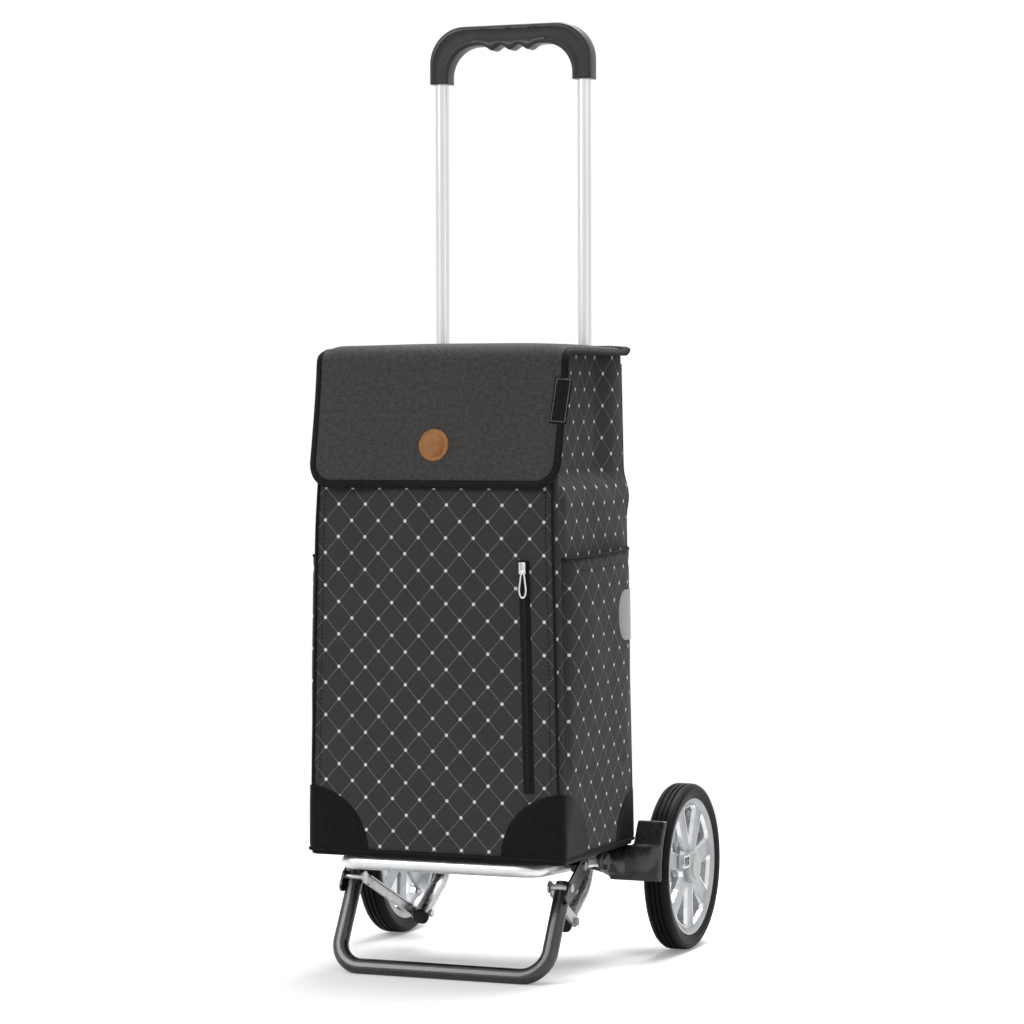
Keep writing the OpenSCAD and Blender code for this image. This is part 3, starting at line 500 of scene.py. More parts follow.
def bag_raw(s, z):
    """A point of the bag. s runs round the bag from the middle of the front, right side positive."""
    side = 1 if s >= 0 else -1
    a = abs(s)
    hx = half(z)
    yf = FRONT + lean(side * min(a, hx), z) + 0.009 * clamp((z - (TOP_Z - 0.0205)) / 0.0205) ** 2
    r = EDGE
    q = math.pi / 4
    sink = 0.015 * smooth(GUSSET_Z - 0.016, GUSSET_Z + 0.008, z)
    puff = 0.0035 * bell(z, GUSSET_Z - 0.026, 0.016) * smooth(BAG_Z, BAG_Z + 0.1, z)
    if a <= hx - r:
        x, y = a, yf
        cx = a / hx
        low = smooth(BAG_Z, BAG_Z + 0.10, z) * (1 - 0.75 * smooth(0.53, 0.57, z))
        y -= 0.0030 * (1 - cx * cx) ** 2 * low
        y += noise.noise(Vector((s * 11, z * 7, 3.1))) * 0.0008 * low
        y += 0.0009 * bell(a, hx - 0.0095, 0.0016)
        return Vector((side * x, y, z))
    if a <= hx + r:
        f = ((a - hx) / r + 1) * q
        x, y, d = hx - r + r * math.sin(f), yf + r - r * math.cos(f), a - hx
    elif a <= hx + DEPTH - r:
        x, y, d = hx, yf + (a - hx) * (BACK - yf) / DEPTH, a - hx
    elif a <= hx + DEPTH + r:
        f = ((a - hx - DEPTH) / r + 1) * q
        x, y, d = hx - r + r * math.cos(f), BACK - r + r * math.sin(f), a - hx
    else:
        x, y, d = hx - (a - hx - DEPTH), BACK, DEPTH
        soft = noise.noise(Vector((s * 9, z * 6, 7.7))) * 0.0007
        x *= 1 - 0.15 * sink / hx
        return Vector((side * x, min(BACK, y + soft), z))
    w = smooth(0.007, 0.020, d)
    inner = w * (1 - 0.85 * smooth(DEPTH - 0.075, DEPTH - 0.030, d))
    x -= sink * inner - puff * w
    packed = smooth(BAG_Z, BAG_Z + 0.15, z) * (1 - smooth(0.50, 0.56, z))
    x += 0.0022 * math.sin(math.pi * clamp(d / DEPTH)) * packed
    x += side_puff(d, z)
    crease = bell(d, 0.0095, 0.0020) * smooth(0.50, 0.53, z)
    x -= 0.0012 * crease
    wave = noise.noise(Vector((d * 16, z * 10, 5.5 * side)))
    wave += 0.5 * noise.noise(Vector((d * 40, z * 26, side)))
    x += 0.0016 * wave * w * smooth(BAG_Z + 0.03, BAG_Z + 0.12, z) * (1 - smooth(DEPTH - 0.02, DEPTH, d))
    return Vector((side * x, y, z))


def bag_normal(s, z):
    e = 0.0015
    z0, z1 = max(BAG_Z, z - e), min(TOP_Z, z + e)
    du = bag_raw(s + e, z) - bag_raw(s - e, z)
    dv = bag_raw(s, z1) - bag_raw(s, z0)
    return du.cross(dv).normalized()


def on_bag(s, z, lift=0.0):
    return bag_raw(s, z) + bag_normal(s, z) * lift


def build_bag():
    heights = []
    z = BAG_Z
    while z < TOP_Z - 1e-6:
        heights.append(z)
        fine = GUSSET_Z - 0.05 < z < GUSSET_Z + 0.03 or z > TOP_Z - 0.026
        z += 0.004 if fine else 0.009
    heights.append(TOP_Z)
    # columns as distances from the front edge, close together at both edges, then on across the back
    rear, back_step = DEPTH + 0.009, 0.0147
    cols = [-0.148 + 0.008 * i for i in range(17)]
    near = (0.0015, 0.0035, 0.0055, 0.0085)
    cols += [-d for d in reversed(near)] + [0, *near, 0.012, 0.016, 0.020, 0.024]
    cols += [0.030 + 0.0077 * i for i in range(25)]
    cols += [DEPTH + d for d in (-0.008, -0.005, -0.002, 0.002, 0.005, 0.009)]
    cols += [rear + back_step * i for i in range(1, 10)]

    def s_of(c, z):
        hx = half(z)
        if c < -0.0085:
            return (hx - 0.0085) * (c + 0.148) / 0.1395
        if c > rear:
            return hx + DEPTH + 0.009 + (hx - 0.009) * (c - DEPTH - 0.009) / (back_step * 9)
        return hx + c
    full = [(-1, c) for c in reversed(cols)] + [(1, c) for c in cols[1:]]

    def fn(i, j):
        side, c = full[i]
        s = side * s_of(c, heights[j])
        if abs(c + 0.148) < 1e-9:
            s = 0.0
        if c > rear + back_step * 8.99:
            p = bag_raw(side * (half(heights[j]) + DEPTH + half(heights[j])), heights[j])
            p.x = 0.0
        else:
            p = bag_raw(s, heights[j])
        return p, (s, heights[j])
    verts, faces, uvs = grid_mesh(len(full) - 1, len(heights) - 1, fn)
    # floor of the bag
    w = len(full)
    mid = len(verts)
    verts.append(Vector((0, (FRONT + BACK) / 2, BAG_Z)))
    uvs.append((0, 0))
    for i in range(w - 1):
        faces.append((mid, i + 1, i))
    bag = mesh_object("bag_body", verts, faces, uvs)
    cloth_piece(bag, CLOTH, 0.0020, "frame", "bag_shell")

    # mouth binding, just inside the top
    ring = [on_bag(side * s_of(c, TOP_Z), TOP_Z - 0.0035, 0.0) for side, c in full[:-1]]
    ring = [p + Vector((0, 0, 0.0012)) for p in ring]
    hem = tube("bag_mouth_hem", ring, 0.0019, closed=True)
    finish_object(hem, TAPE, "frame", fold=True)

    # piping: both front edges, and the whole bottom edge
    runs = []
    for side in (-1, 1):
        for start, along, lift, r in ((0.070, -0.0040, 0.0007, 0.0018), (0.060, DEPTH, 0.0003, 0.0015)):
            pts = []
            z = BAG_Z + start
            while z < TOP_Z - 0.012:
                pts.append(on_bag(side * (half(z) + along), z, lift))
                z += 0.006
            runs.append(tube("pipe", pts, r))
    low = [on_bag(side * s_of(c, BAG_Z + 0.002), BAG_Z + 0.002, 0.0004) for side, c in full[:-1]]
    runs.append(tube("pipe", low, 0.0021, closed=True))
    piping = join("bag_edge_piping", runs)
    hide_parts("bag_piping")
    finish_object(piping, TAPE, "frame", fold=True)

    # seam stitches beside the front edges
    pairs = []
    for side in (-1, 1):
        pts, nrm = [], []
        z = BAG_Z + 0.085
        while z < TOP_Z - 0.02:
            s = side * (half(z) - 0.0130)
            pts.append(on_bag(s, z, 0.0002))
            nrm.append(bag_normal(s, z))
            z += 0.008
        pairs += stitch_run(pts, nrm, 0.003, 0.002)
    finish_object(stitches("front_seam_stitches", pairs, 0.00035), TAPE, "frame", fold=True)

    # base board under the bag
    lo, hi = cad_corners("bag_base")
    rows = [(0.0026, lo.z), (0.0007, lo.z + 0.0006), (0.0, lo.z + 0.0018), (0.0, hi.z - 0.0003)]
    n, r = 48, 0.012
    ring = [(math.cos(2 * math.pi * k / n), math.sin(2 * math.pi * k / n)) for k in range(n)]
    verts = []
    for inset, z in rows:
        for ca, sa in ring:
            x = (WIDE - r) * (1 if ca >= 0 else -1) + (r - inset) * ca
            y = (FRONT + BACK) / 2 + (DEPTH / 2 - r) * (1 if sa >= 0 else -1) + (r - inset) * sa
            verts.append(Vector((x, y, z)))
    faces = ring_faces(len(rows), n)
    faces.append(tuple(reversed(range(n))))
    faces.append(tuple(len(rows) * n - n + i for i in range(n)))
    base = mesh_object("bag_base_board", verts, faces)
    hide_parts("bag_base")
    finish_object(base, LEATHER, "frame", smooth_shade=False, fold=True)


# ------------------------------------------------------------------ side pockets with their reflectors
POCKET_Y0, POCKET_Y1 = FRONT + 0.0095, BACK - 0.007
POCKET_Z0, POCKET_Z1 = BAG_Z + 0.093, BAG_Z + 0.344


def pocket_top(y):
    return POCKET_Z1 - 0.003 + 0.006 * (y - POCKET_Y0) / (POCKET_Y1 - POCKET_Y0)


def pocket_raw(side, y, z):
    f = clamp((y - POCKET_Y0) / (POCKET_Y1 - POCKET_Y0))
    g = clamp((z - POCKET_Z0) / (pocket_top(y) - POCKET_Z0))
    across = (1 - abs(2 * f - 1) ** 3.2)
    rise = smooth(0.0, 0.55, g) * 0.62 + 0.38 * g
    out = 0.0017 + 0.0118 * across * rise
    out += 0.0010 * noise.noise(Vector((y * 18, z * 13, 2.2 * side))) * across * smooth(0, 0.3, g)
    out -= 0.0011 * bell(g, 0.945, 0.012) * smooth(0, 0.1, across)
    base = half(z) + side_puff(y - FRONT, z)
    return Vector((side * (base + out), y, z))


def pocket_normal(side, y, z):
    e = 0.002
    du = pocket_raw(side, y + e, z) - pocket_raw(side, y - e, z)
    dv = pocket_raw(side, y, z + e) - pocket_raw(side, y, z - e)
    n = du.cross(dv).normalized()
    return n if n.x * side > 0 else -n


def build_pocket(side, name):
    """A side pocket with hem and stitches; returns its reflector patch, not yet joined."""
    cols, rows = 30, 34
    length = POCKET_Y1 - POCKET_Y0
    corner = 0.030

    def fn(i, j):
        f = i / cols
        y = POCKET_Y0 + length * f
        low = 0.0
        d = min(f, 1 - f) * length
        if d < corner:
            low = corner - math.sqrt(max(0.0, corner ** 2 - (corner - d) ** 2))
        z0 = POCKET_Z0 + low * 0.6
        z = z0 + (pocket_top(y) - z0) * j / rows
        p = pocket_raw(side, y, z)
        if i in (0, cols) or j == 0:
            p.x = side * (half(z) + 0.0002)
        return p, (side * (half(z) + (y - FRONT)), z)
    verts, faces, uvs = grid_mesh(cols, rows, fn)
    if side < 0:
        faces = [tuple(reversed(f)) for f in faces]
    piece = mesh_object(f"side_pocket_cloth_{name}", verts, faces, uvs)
    cloth_piece(piece, CLOTH, 0.0013, "frame", f"side_pocket_{name}")

    # rolled hem along the mouth, and its row of stitches
    ys = [POCKET_Y0 + length * i / cols for i in range(cols + 1)]
    rolled = Vector((-side * 0.0006, 0, 0.0002))
    hem = tube("hem", [pocket_raw(side, y, pocket_top(y)) + rolled for y in ys], 0.0016)
    zs = [POCKET_Z0 + 0.018 + (POCKET_Z1 - POCKET_Z0 - 0.02) * k / 20 for k in range(21)]
    edge = tube("edge", [Vector((side * (half(z) + 0.0012), POCKET_Y0 + 0.0005, z)) for z in zs], 0.0011)
    finish_object(join(f"pocket_hem_{name}", [hem, edge]), TAPE, "frame", fold=True)
    below = 0.0145
    pts = [pocket_raw(side, y, pocket_top(y) - below) for y in ys[1:-1]]
    nrm = [pocket_normal(side, y, pocket_top(y) - below) for y in ys[1:-1]]
    finish_object(stitches(f"pocket_stitches_{name}", stitch_run(pts, nrm, 0.003, 0.0018), 0.0004),
                  TAPE, "frame", fold=True)

    # D-shaped reflector, its round side to the front
    lo, hi = cad_corners("reflector_patches")
    zc, tall = (lo.z + hi.z) / 2, (hi.z - lo.z) / 2
    r, y1 = 0.024, hi.y
    n = 24

    def ref(i, j):
        a = math.pi * (j / n - 0.5)
        z = zc + tall * math.sin(a) * 0.999
        over = max(0.0, abs(z - zc) - (tall - r))
        y0 = lo.y + r - math.sqrt(max(0.0, r * r - over * over))
        y = y0 + (y1 - y0) * i / 10
        edge_ = i in (0, 10) or j in (0, n)
        lift = 0.0003 if edge_ else 0.0012
        return pocket_raw(side, y, z) + pocket_normal(side, y, z) * lift, (y, z)
    verts, faces, uvs = grid_mesh(10, n, ref)
    if side < 0:
        faces = [tuple(reversed(f)) for f in faces]
    return mesh_object("ref", verts, faces)


# ------------------------------------------------------------------ corner patches of smooth black leather
def build_patches():
    parts = []
    rows, cols = 16, 26
    for side in (-1, 1):
        for kind, r in (("front", 0.076), ("rear", 0.062)):

            def fn(i, j):
                f = j / rows
                z = BAG_Z + 0.0006 + (r - 0.0006) * math.sin(f * math.pi / 2)
                w = r * math.cos(f * math.pi / 2) + 0.0004
                if kind == "front":
                    a = -w + 2 * w * i / cols
                    s = half(z) + a
                else:
                    a = -w + (w + 0.020) * i / cols
                    s = half(z) + DEPTH + a
                edge_ = i in (0, cols) or j in (0, rows)
                return on_bag(side * s, min(z, TOP_Z), 0.0003 if edge_ else 0.0016), (s, z)
            verts, faces, _ = grid_mesh(cols, rows, fn)
            if side < 0:
                faces = [tuple(reversed(f)) for f in faces]
            parts.append(mesh_object("patch", verts, faces))
    obj = join("leather_corner_patches", parts)
    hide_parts("corner_patches")
    finish_object(obj, LEATHER, "frame", fold=True)


# ------------------------------------------------------------------ zip
ZIP_TOP, ZIP_LEN, ZIP_X = BAG_Z + 0.340, 0.263, 0.112


def zip_at(d, across, lift):
    """A point d below the zip's top; the zip runs along the bag's taper."""
    return on_bag(ZIP_X + TAPER * d + across, ZIP_TOP - d, lift)


def build_zip():
    rows = 60
    profile = [(-0.0065, 0.0003), (-0.0060, 0.0009), (-0.0016, 0.0010), (0.0016, 0.0010), (0.0060, 0.0009),
               (0.0065, 0.0003)]

    def fn(i, j):
        return zip_at(ZIP_LEN * (1 - j / rows), *profile[i]), (0, 0)
    verts, faces, _ = grid_mesh(len(profile) - 1, rows, fn)
    tape = mesh_object("zip_fabric_tape", verts, faces)
    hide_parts("zip_tape")
    finish_object(tape, TAPE, "frame", fold=True)
    verts, faces = [], []
    count = 150
    for k in range(count):
        d = 0.004 + (ZIP_LEN - 0.008) * k / count
        side = 1 if k % 2 else -1
        base = len(verts)
        for dd in (0.0, 0.0011):
            for across, lift in ((-0.0004, 0.0010), (-0.0004, 0.0020), (0.0019, 0.0019), (0.0019, 0.0010)):
                verts.append(zip_at(d + dd, side * across, lift))
        faces += ring_faces(2, 4, base)
        faces += [(base + 3, base + 2, base + 1, base), (base + 4, base + 5, base + 6, base + 7)]
    teeth = mesh_object("zip_teeth", verts, faces)
    finish_object(teeth, BLACK, "frame", smooth_shade=False, fold=True)


def build_zip_pull():
    """A rounded teardrop frame of bright metal, narrow at the slider."""
    lo, hi = cad_corners("zip_pull")
    mid, r = (lo + hi) / 2, 0.0012
    half_h = (hi.z - lo.z) / 2 - r
    pts = []
    for k in range(40):
        a = 2 * math.pi * k / 40
        wide = 0.0030 + 0.0021 * smooth(-0.4, 0.9, -math.cos(a))
        pts.append(Vector((mid.x + wide * math.sin(a), mid.y - 0.0004, mid.z + half_h * math.cos(a))))
    pull = tube("chromed_zip_pull", pts, r, closed=True)
    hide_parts("zip_pull")
    finish_object(pull, CHROME, "zip_pull", fold=True)


def copy_cad(node, name, bevel=0.0, segments=2, angle=35):
    """A bevelled copy of a CAD node's mesh."""
    src = NODES[node]
    mesh = src.data.copy()
    mesh.materials.clear()
    obj = bpy.data.objects.new(name, mesh)
    bpy.context.scene.collection.objects.link(obj)
    bm = bmesh.new()
    bm.from_mesh(mesh)
    bmesh.ops.remove_doubles(bm, verts=bm.verts, dist=0.00002)
    bmesh.ops.dissolve_limit(bm, angle_limit=math.radians(1.5), verts=bm.verts, edges=bm.edges)
    bm.to_mesh(mesh)
    bm.free()
    if bevel:
        mod = obj.modifiers.new("bevel", "BEVEL")
        mod.width = bevel
        mod.segments = segments
        mod.limit_method = "ANGLE"
        mod.angle_limit = math.radians(angle)
        mod.use_clamp_overlap = True
        mod.harden_normals = False
        apply_modifiers(obj)
    return obj


# ------------------------------------------------------------------ flap
HINGE_Y = BACK - 0.003
FLAP_HALF = FLAP_HI.x
TOP_MID = TOP_Z + 0.0028
BEND_R = 0.019
BEND_Y = FRONT - 0.0025 + 0.017
BEND_Z = TOP_MID - BEND_R
RUN_TOP = HINGE_Y - BEND_Y
RUN_BEND = BEND_R * math.pi / 2
RUN_DROP = BEND_Z - FLAP_LO.z
FLAP_LEN = RUN_TOP + RUN_BEND + RUN_DROP
FLAP_R = 0.030


def flap_raw(u, v):
    """The flap's middle surface from flat coordinates: u across, v from the hinge forward and down."""
    side = 1 if u >= 0 else -1
    a = abs(u)
    curl = clamp((a - 0.128) / 0.029) ** 2
    back = lean(u, BEND_Z)
    if v <= RUN_TOP:
        t = v / RUN_TOP
        y, z = HINGE_Y - v + back * t, TOP_MID
        dome = 0.0045 * math.sin(math.pi * clamp(t * 0.96 + 0.02)) * (1 - (u / FLAP_HALF) ** 2)
        z += dome
        z += noise.noise(Vector((u * 12, v * 10, 1.3))) * 0.0009 * smooth(0.01, 0.06, v)
        z -= 0.0085 * curl * smooth(0.0, 0.02, v)
        y += 0.010 * curl * (1 - smooth(0.0, 0.06, v))
        return Vector((u - side * 0.0018 * curl, y, z))
    if v <= RUN_TOP + RUN_BEND:
        f = (v - RUN_TOP) / BEND_R
        r = BEND_R - 0.0045 * curl
        y, z = BEND_Y + back - r * math.sin(f), BEND_Z + r * math.cos(f)
        z -= 0.0040 * curl * math.cos(f)
        return Vector((u - side * 0.0018 * curl, y, z))
    d = v - RUN_TOP - RUN_BEND
    t = d / RUN_DROP
    y = BEND_Y - BEND_R + lean(u, BEND_Z - d)
    y += 0.0045 * curl * (1 - 0.5 * t)
    flare = 0.0040 if side < 0 else 0.0020
    y -= flare * t * t * smooth(0.02, 0.150, a)
    y -= 0.0012 * t * math.sin(u * 46 + 0.6) + noise.noise(Vector((u * 10, d * 14, 4.4))) * 0.0009 * t
    return Vector((u - side * 0.0018 * curl * (1 - t * 0.6), y, BEND_Z - d))


def flap_normal(u, v):
    e = 0.0012
    v0, v1 = max(0, v - e), min(FLAP_LEN, v + e)
    du = flap_raw(u + e, v) - flap_raw(u - e, v)
    dv = flap_raw(u, v1) - flap_raw(u, v0)
    return dv.cross(du).normalized()


def on_flap(u, v, lift=0.0):
    return flap_raw(u, v) + flap_normal(u, v) * lift


def flap_outline(inset):
    """Closed outline in flat coordinates, inset from the flap's edge."""
    pts = []
    h, r, rr = FLAP_HALF - inset, FLAP_R - inset, 0.010
    v0, v1 = inset, FLAP_LEN - inset
    n = 46
    for k in range(n):
        pts.append((-h, v0 + rr + (v1 - r - v0 - rr) * k / n))
    for k in range(10):
        f = k / 10 * math.pi / 2
        pts.append((-h + r - r * math.cos(f), v1 - r + r * math.sin(f)))
    for k in range(40):
        pts.append((-h + r + (2 * h - 2 * r) * k / 40, v1))
    for k in range(10):
        f = k / 10 * math.pi / 2
        pts.append((h - r + r * math.sin(f), v1 - r + r * math.cos(f)))
    for k in range(n):
        pts.append((h, v1 - r - (v1 - r - v0 - rr) * k / n))
    for k in range(6):
        f = k / 6 * math.pi / 2
        pts.append((h - rr + rr * math.cos(f), v0 + rr - rr * math.sin(f)))
    for k in range(40):
        pts.append((h - rr - (2 * h - 2 * rr) * k / 40, v0))
    for k in range(6):
        f = k / 6 * math.pi / 2
        pts.append((-h + rr - rr * math.sin(f), v0 + rr - rr * math.cos(f)))
    return pts


def build_flap():
    rows, cols = 76, 48
    vs = [0.004 + (FLAP_LEN - 0.008) * j / rows for j in range(rows + 1)]

    def fn(i, j):
        v = vs[j]
        w = FLAP_HALF - 0.004
        over = v - (FLAP_LEN - FLAP_R)
        if over > 0:
            r = FLAP_R - 0.004
            w = FLAP_HALF - FLAP_R + math.sqrt(max(0.0, r * r - over * over))
        f = -1 + 2 * i / cols
        return on_flap(w * f, v, 0.0010), (w * f, v)
    verts, faces, uvs = grid_mesh(cols, rows, fn)
    faces = [tuple(reversed(f)) for f in faces]
    panel = mesh_object("flap_cloth_panel", verts, faces, uvs)
    cloth_piece(panel, FLAP_CLOTH, 0.0026, "flap", "flap_panel")

    # binding tape folded over the edge: outer face, rounded edge, inner face
    levels = [(0.0092, 0.0011), (0.0086, 0.0021), (0.0050, 0.0023), (0.0016, 0.0019), (0.0002, 0.0006),
              (0.0002, -0.0008), (0.0016, -0.0021), (0.0050, -0.0024), (0.0086, -0.0022), (0.0092, -0.0016)]
    rings = [[on_flap(u, v, lift) for u, v in flap_outline(inset)] for inset, lift in levels]
    verts = [p for ring in rings for p in ring]
    binding = mesh_object("flap_edge_binding", verts, ring_faces(len(levels), len(rings[0]), closed=True))
    recalc_normals(binding)
    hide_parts("flap_binding")
    finish_object(binding, TAPE, "flap", fold=True)
    line = flap_outline(0.0080)
    line.append(line[0])
    pts = [on_flap(u, v, 0.0023) for u, v in line]
    nrm = [flap_normal(u, v) for u, v in line]
    finish_object(stitches("flap_binding_stitches", stitch_run(pts, nrm, 0.0028, 0.0016), 0.0003),
                  TAPE, "flap", fold=True)

    # round leather badge, bare, with its ring of stitches
    lo, hi = cad_corners("flap_badge")
    r, zc = (hi.x - lo.x) / 2, (lo.z + hi.z) / 2
    vc = RUN_TOP + RUN_BEND + (BEND_Z - zc)
    levels = [(1.0, 0.0012), (1.0, 0.0022), (0.965, 0.0029), (0.90, 0.0030), (0.86, 0.0026), (0.81, 0.0026),
              (0.77, 0.0031), (0.5, 0.0034), (0.2, 0.0035)]
    n = 56
    verts = []
    for f, lift in levels:
        for k in range(n):
            a = 2 * math.pi * k / n
            verts.append(on_flap(r * f * math.cos(a), vc + r * f * math.sin(a), lift))
    faces = ring_faces(len(levels), n)
    verts.append(on_flap(0, vc, 0.0035))
    for k in range(n):
        faces.append((len(levels) * n - n + k, len(levels) * n - n + (k + 1) % n, len(verts) - 1))
    badge = mesh_object("round_leather_badge", verts, faces)
    recalc_normals(badge)
    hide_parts("flap_badge")
    finish_object(badge, BADGE, "flap", fold=True)
    count, seam_r = 30, r * 0.835

    def on_seam(k):
        a = 2 * math.pi * k / count
        return on_flap(seam_r * math.cos(a), vc + seam_r * math.sin(a), 0.0028)
    pairs = [(on_seam(k + 0.14), on_seam(k + 0.86), flap_normal(0, vc)) for k in range(count)]
    finish_object(stitches("badge_stitches", pairs, 0.0005), TAN_THREAD, "flap", fold=True)

    # small bare label over the right-hand binding, a little larger than its CAD solid
    lo, hi = cad_corners("flap_label")
    tilt = math.radians(4)
    cx, cz = (lo.x + hi.x) / 2 - 0.0005, (lo.z + hi.z) / 2
    vc = RUN_TOP + RUN_BEND + (BEND_Z - cz)
    hw, hh = (hi.x - lo.x) / 2 + 0.0015, (hi.z - lo.z) / 2 + 0.009

    def lab(x, y, lift):
        u = cx + x * math.cos(tilt) - y * math.sin(tilt)
        v = vc + x * math.sin(tilt) + y * math.cos(tilt)
        return on_flap(u, v, lift)

    def fn_label(i, j):
        lift = 0.0024 if i in (0, 10) or j in (0, 16) else 0.0036
        return lab(hw * (-1 + i / 5), hh * (-1 + j / 8), lift), (0, 0)
    verts, faces, uvs = grid_mesh(10, 16, fn_label)
    faces = [tuple(reversed(f)) for f in faces]
    label = mesh_object("small_woven_label", verts, faces)
    label.data.materials.append(TAPE)
    thicken(label, 0.0008, -1.0)
    label.data.materials.clear()
    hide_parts("flap_label")
    finish_object(label, TAPE, "flap", fold=True)
    e = 0.0020
    corners = [(-hw + e, -hh + e), (hw - e, -hh + e), (hw - e, hh - e), (-hw + e, hh - e), (-hw + e, -hh + e)]
    pairs = []
    for (x0, y0), (x1, y1) in zip(corners, corners[1:]):
        pts = [lab(x0 + (x1 - x0) * k / 8, y0 + (y1 - y0) * k / 8, 0.0036) for k in range(9)]
        pairs += stitch_run(pts, [flap_normal(cx, vc)] * 9, 0.0018, 0.0009)
    finish_object(stitches("label_stitches", pairs, 0.0004), THREAD, "flap", fold=True)


# ------------------------------------------------------------------ hang loops round the tubes
def build_loops():
    lo, hi = cad_corners("hang_loops")
    parts = []
    width, wrap_r = 0.026, 0.0113
    # seen from above: flat on the bag, once round the tube, flat on the bag again
    y0 = BACK + 0.0008
    foot = [(-0.025, y0), (-0.0175, y0), (-0.0132, y0 + 0.0016)]
    turn = [math.radians(200 - 220 * k / 16) for k in range(17)]
    path = foot + [(wrap_r * math.cos(a), TUBE_Y + wrap_r * math.sin(a)) for a in turn]
    path += [(-x, y) for x, y in reversed(foot)]
    w, t = width / 2, 0.0008
    profile = [(-w, -t * 0.5), (-w, t * 0.5), (-w + 0.001, t), (-w + 0.003, t * 0.8), (w - 0.003, t * 0.8),
               (w - 0.001, t), (w, t * 0.5), (w, -t * 0.5), (w - 0.001, -t), (-w + 0.001, -t)]
    for side in (-1, 1):
        for z0 in (lo.z, hi.z - width):
            centres = [Vector((side * TUBE_X + x, y, z0 + width / 2)) for x, y in path]
            normals = []
            for k in range(len(centres)):
                a, b = centres[max(0, k - 1)], centres[min(len(centres) - 1, k + 1)]
                along = (b - a).normalized()
                normals.append(Vector((-along.y, along.x, 0)))
            sides = [Vector((0, 0, 1))] * len(centres)
            parts.append(sweep("loop", centres, normals, sides, profile))
    obj = join("webbing_loops", parts)
    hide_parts("hang_loops")
    finish_object(obj, TAPE, "frame")


# ------------------------------------------------------------------ pull-out grip
def build_grip():
    lo, hi = cad_corners("handle_grip")
    half_w, top, low = hi.x, hi.z, lo.z
    yc, depth = (lo.y + hi.y) / 2, (hi.y - lo.y) / 2
    thick = 0.024
    r_out, r_in = 0.044, 0.036
    in_half, in_top = half_w - thick, top - thick
    stations = []
    for k in range(9):
        f = k / 8
        stations.append((Vector((half_w, 0, low + (top - r_out - low) * f)),
                         Vector((in_half, 0, low + (in_top - r_in - low) * f)), 0.0))
    for k in range(1, 17):
        ca, sa = math.cos(math.pi / 2 * k / 16), math.sin(math.pi / 2 * k / 16)
        stations.append((Vector((half_w - r_out + r_out * ca, 0, top - r_out + r_out * sa)),
                         Vector((in_half - r_in + r_in * ca, 0, in_top - r_in + r_in * sa)), 0.0))
    n = 44
    x_out, x_in = half_w - r_out, in_half - r_in
    for k in range(1, n):
        f = k / n
        xo = x_out * (1 - 2 * f)
        xi = x_in * (1 - 2 * f)
        drop = sum(0.0062 * bell(xi, m * 0.023, 0.0072) for m in (-1, 0, 1))
        stations.append((Vector((xo, 0, top)), Vector((xi, 0, in_top - drop)), drop))
    mirror = [(Vector((-a.x, 0, a.z)), Vector((-b.x, 0, b.z)), d) for a, b, d in stations[:25]]
    stations += list(reversed(mirror))
    # section: p across the bar, q front to back; the front and back carry a sunk panel
    rr = 0.34
    step = [(-0.60, 1.0), (-0.54, 0.90), (0.0, 0.88), (0.54, 0.90), (0.60, 1.0)]
    arc = [(math.sin(math.pi / 2 * k / 5), math.cos(math.pi / 2 * k / 5)) for k in range(6)]
    far = 1 - rr
    profile = [(p, -q) for p, q in step]
    profile += [(far + rr * s, -far - rr * c) for s, c in arc]
    profile += [(far + rr * c, far + rr * s) for s, c in arc]
    profile += [(-p, q) for p, q in step]
    profile += [(-far - rr * s, far + rr * c) for s, c in arc]
    profile += [(-far - rr * c, -far - rr * s) for s, c in arc]
    m = len(profile)
    verts, faces, sunk = [], [], []
    for outer, inner, drop in stations:
        mid, half_v = (outer + inner) / 2, (outer - inner) / 2
        # the sunk panel keeps its width where the finger points widen the bar
        shift = half_v.length
        for k, (p, q) in enumerate(profile):
            pp = p
            if abs(p) <= 0.61 and drop:
                pp = 1 - (1 - p) * 0.012 / shift
            verts.append(mid + half_v * pp + Vector((0, yc + depth * q, 0)))
    for j in range(len(stations) - 1):
        for k in range(m):
            k2 = (k + 1) % m
            faces.append((j * m + k, j * m + k2, (j + 1) * m + k2, (j + 1) * m + k))
            sunk.append(k in (1, 2, 18, 19))
    faces.append(tuple(range(m)))
    faces.append(tuple((len(stations) - 1) * m + k for k in reversed(range(m))))
    sunk += [False, False]
    obj = mesh_object("moulded_grip", verts, faces)
    obj.data.materials.append(GRIP)
    obj.data.materials.append(INSET)
    for poly, flag in zip(obj.data.polygons, sunk):
        poly.material_index = 1 if flag else 0
        poly.use_smooth = len(poly.vertices) == 4
    recalc_normals(obj)
    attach(obj, "handle")
    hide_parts("handle_grip")


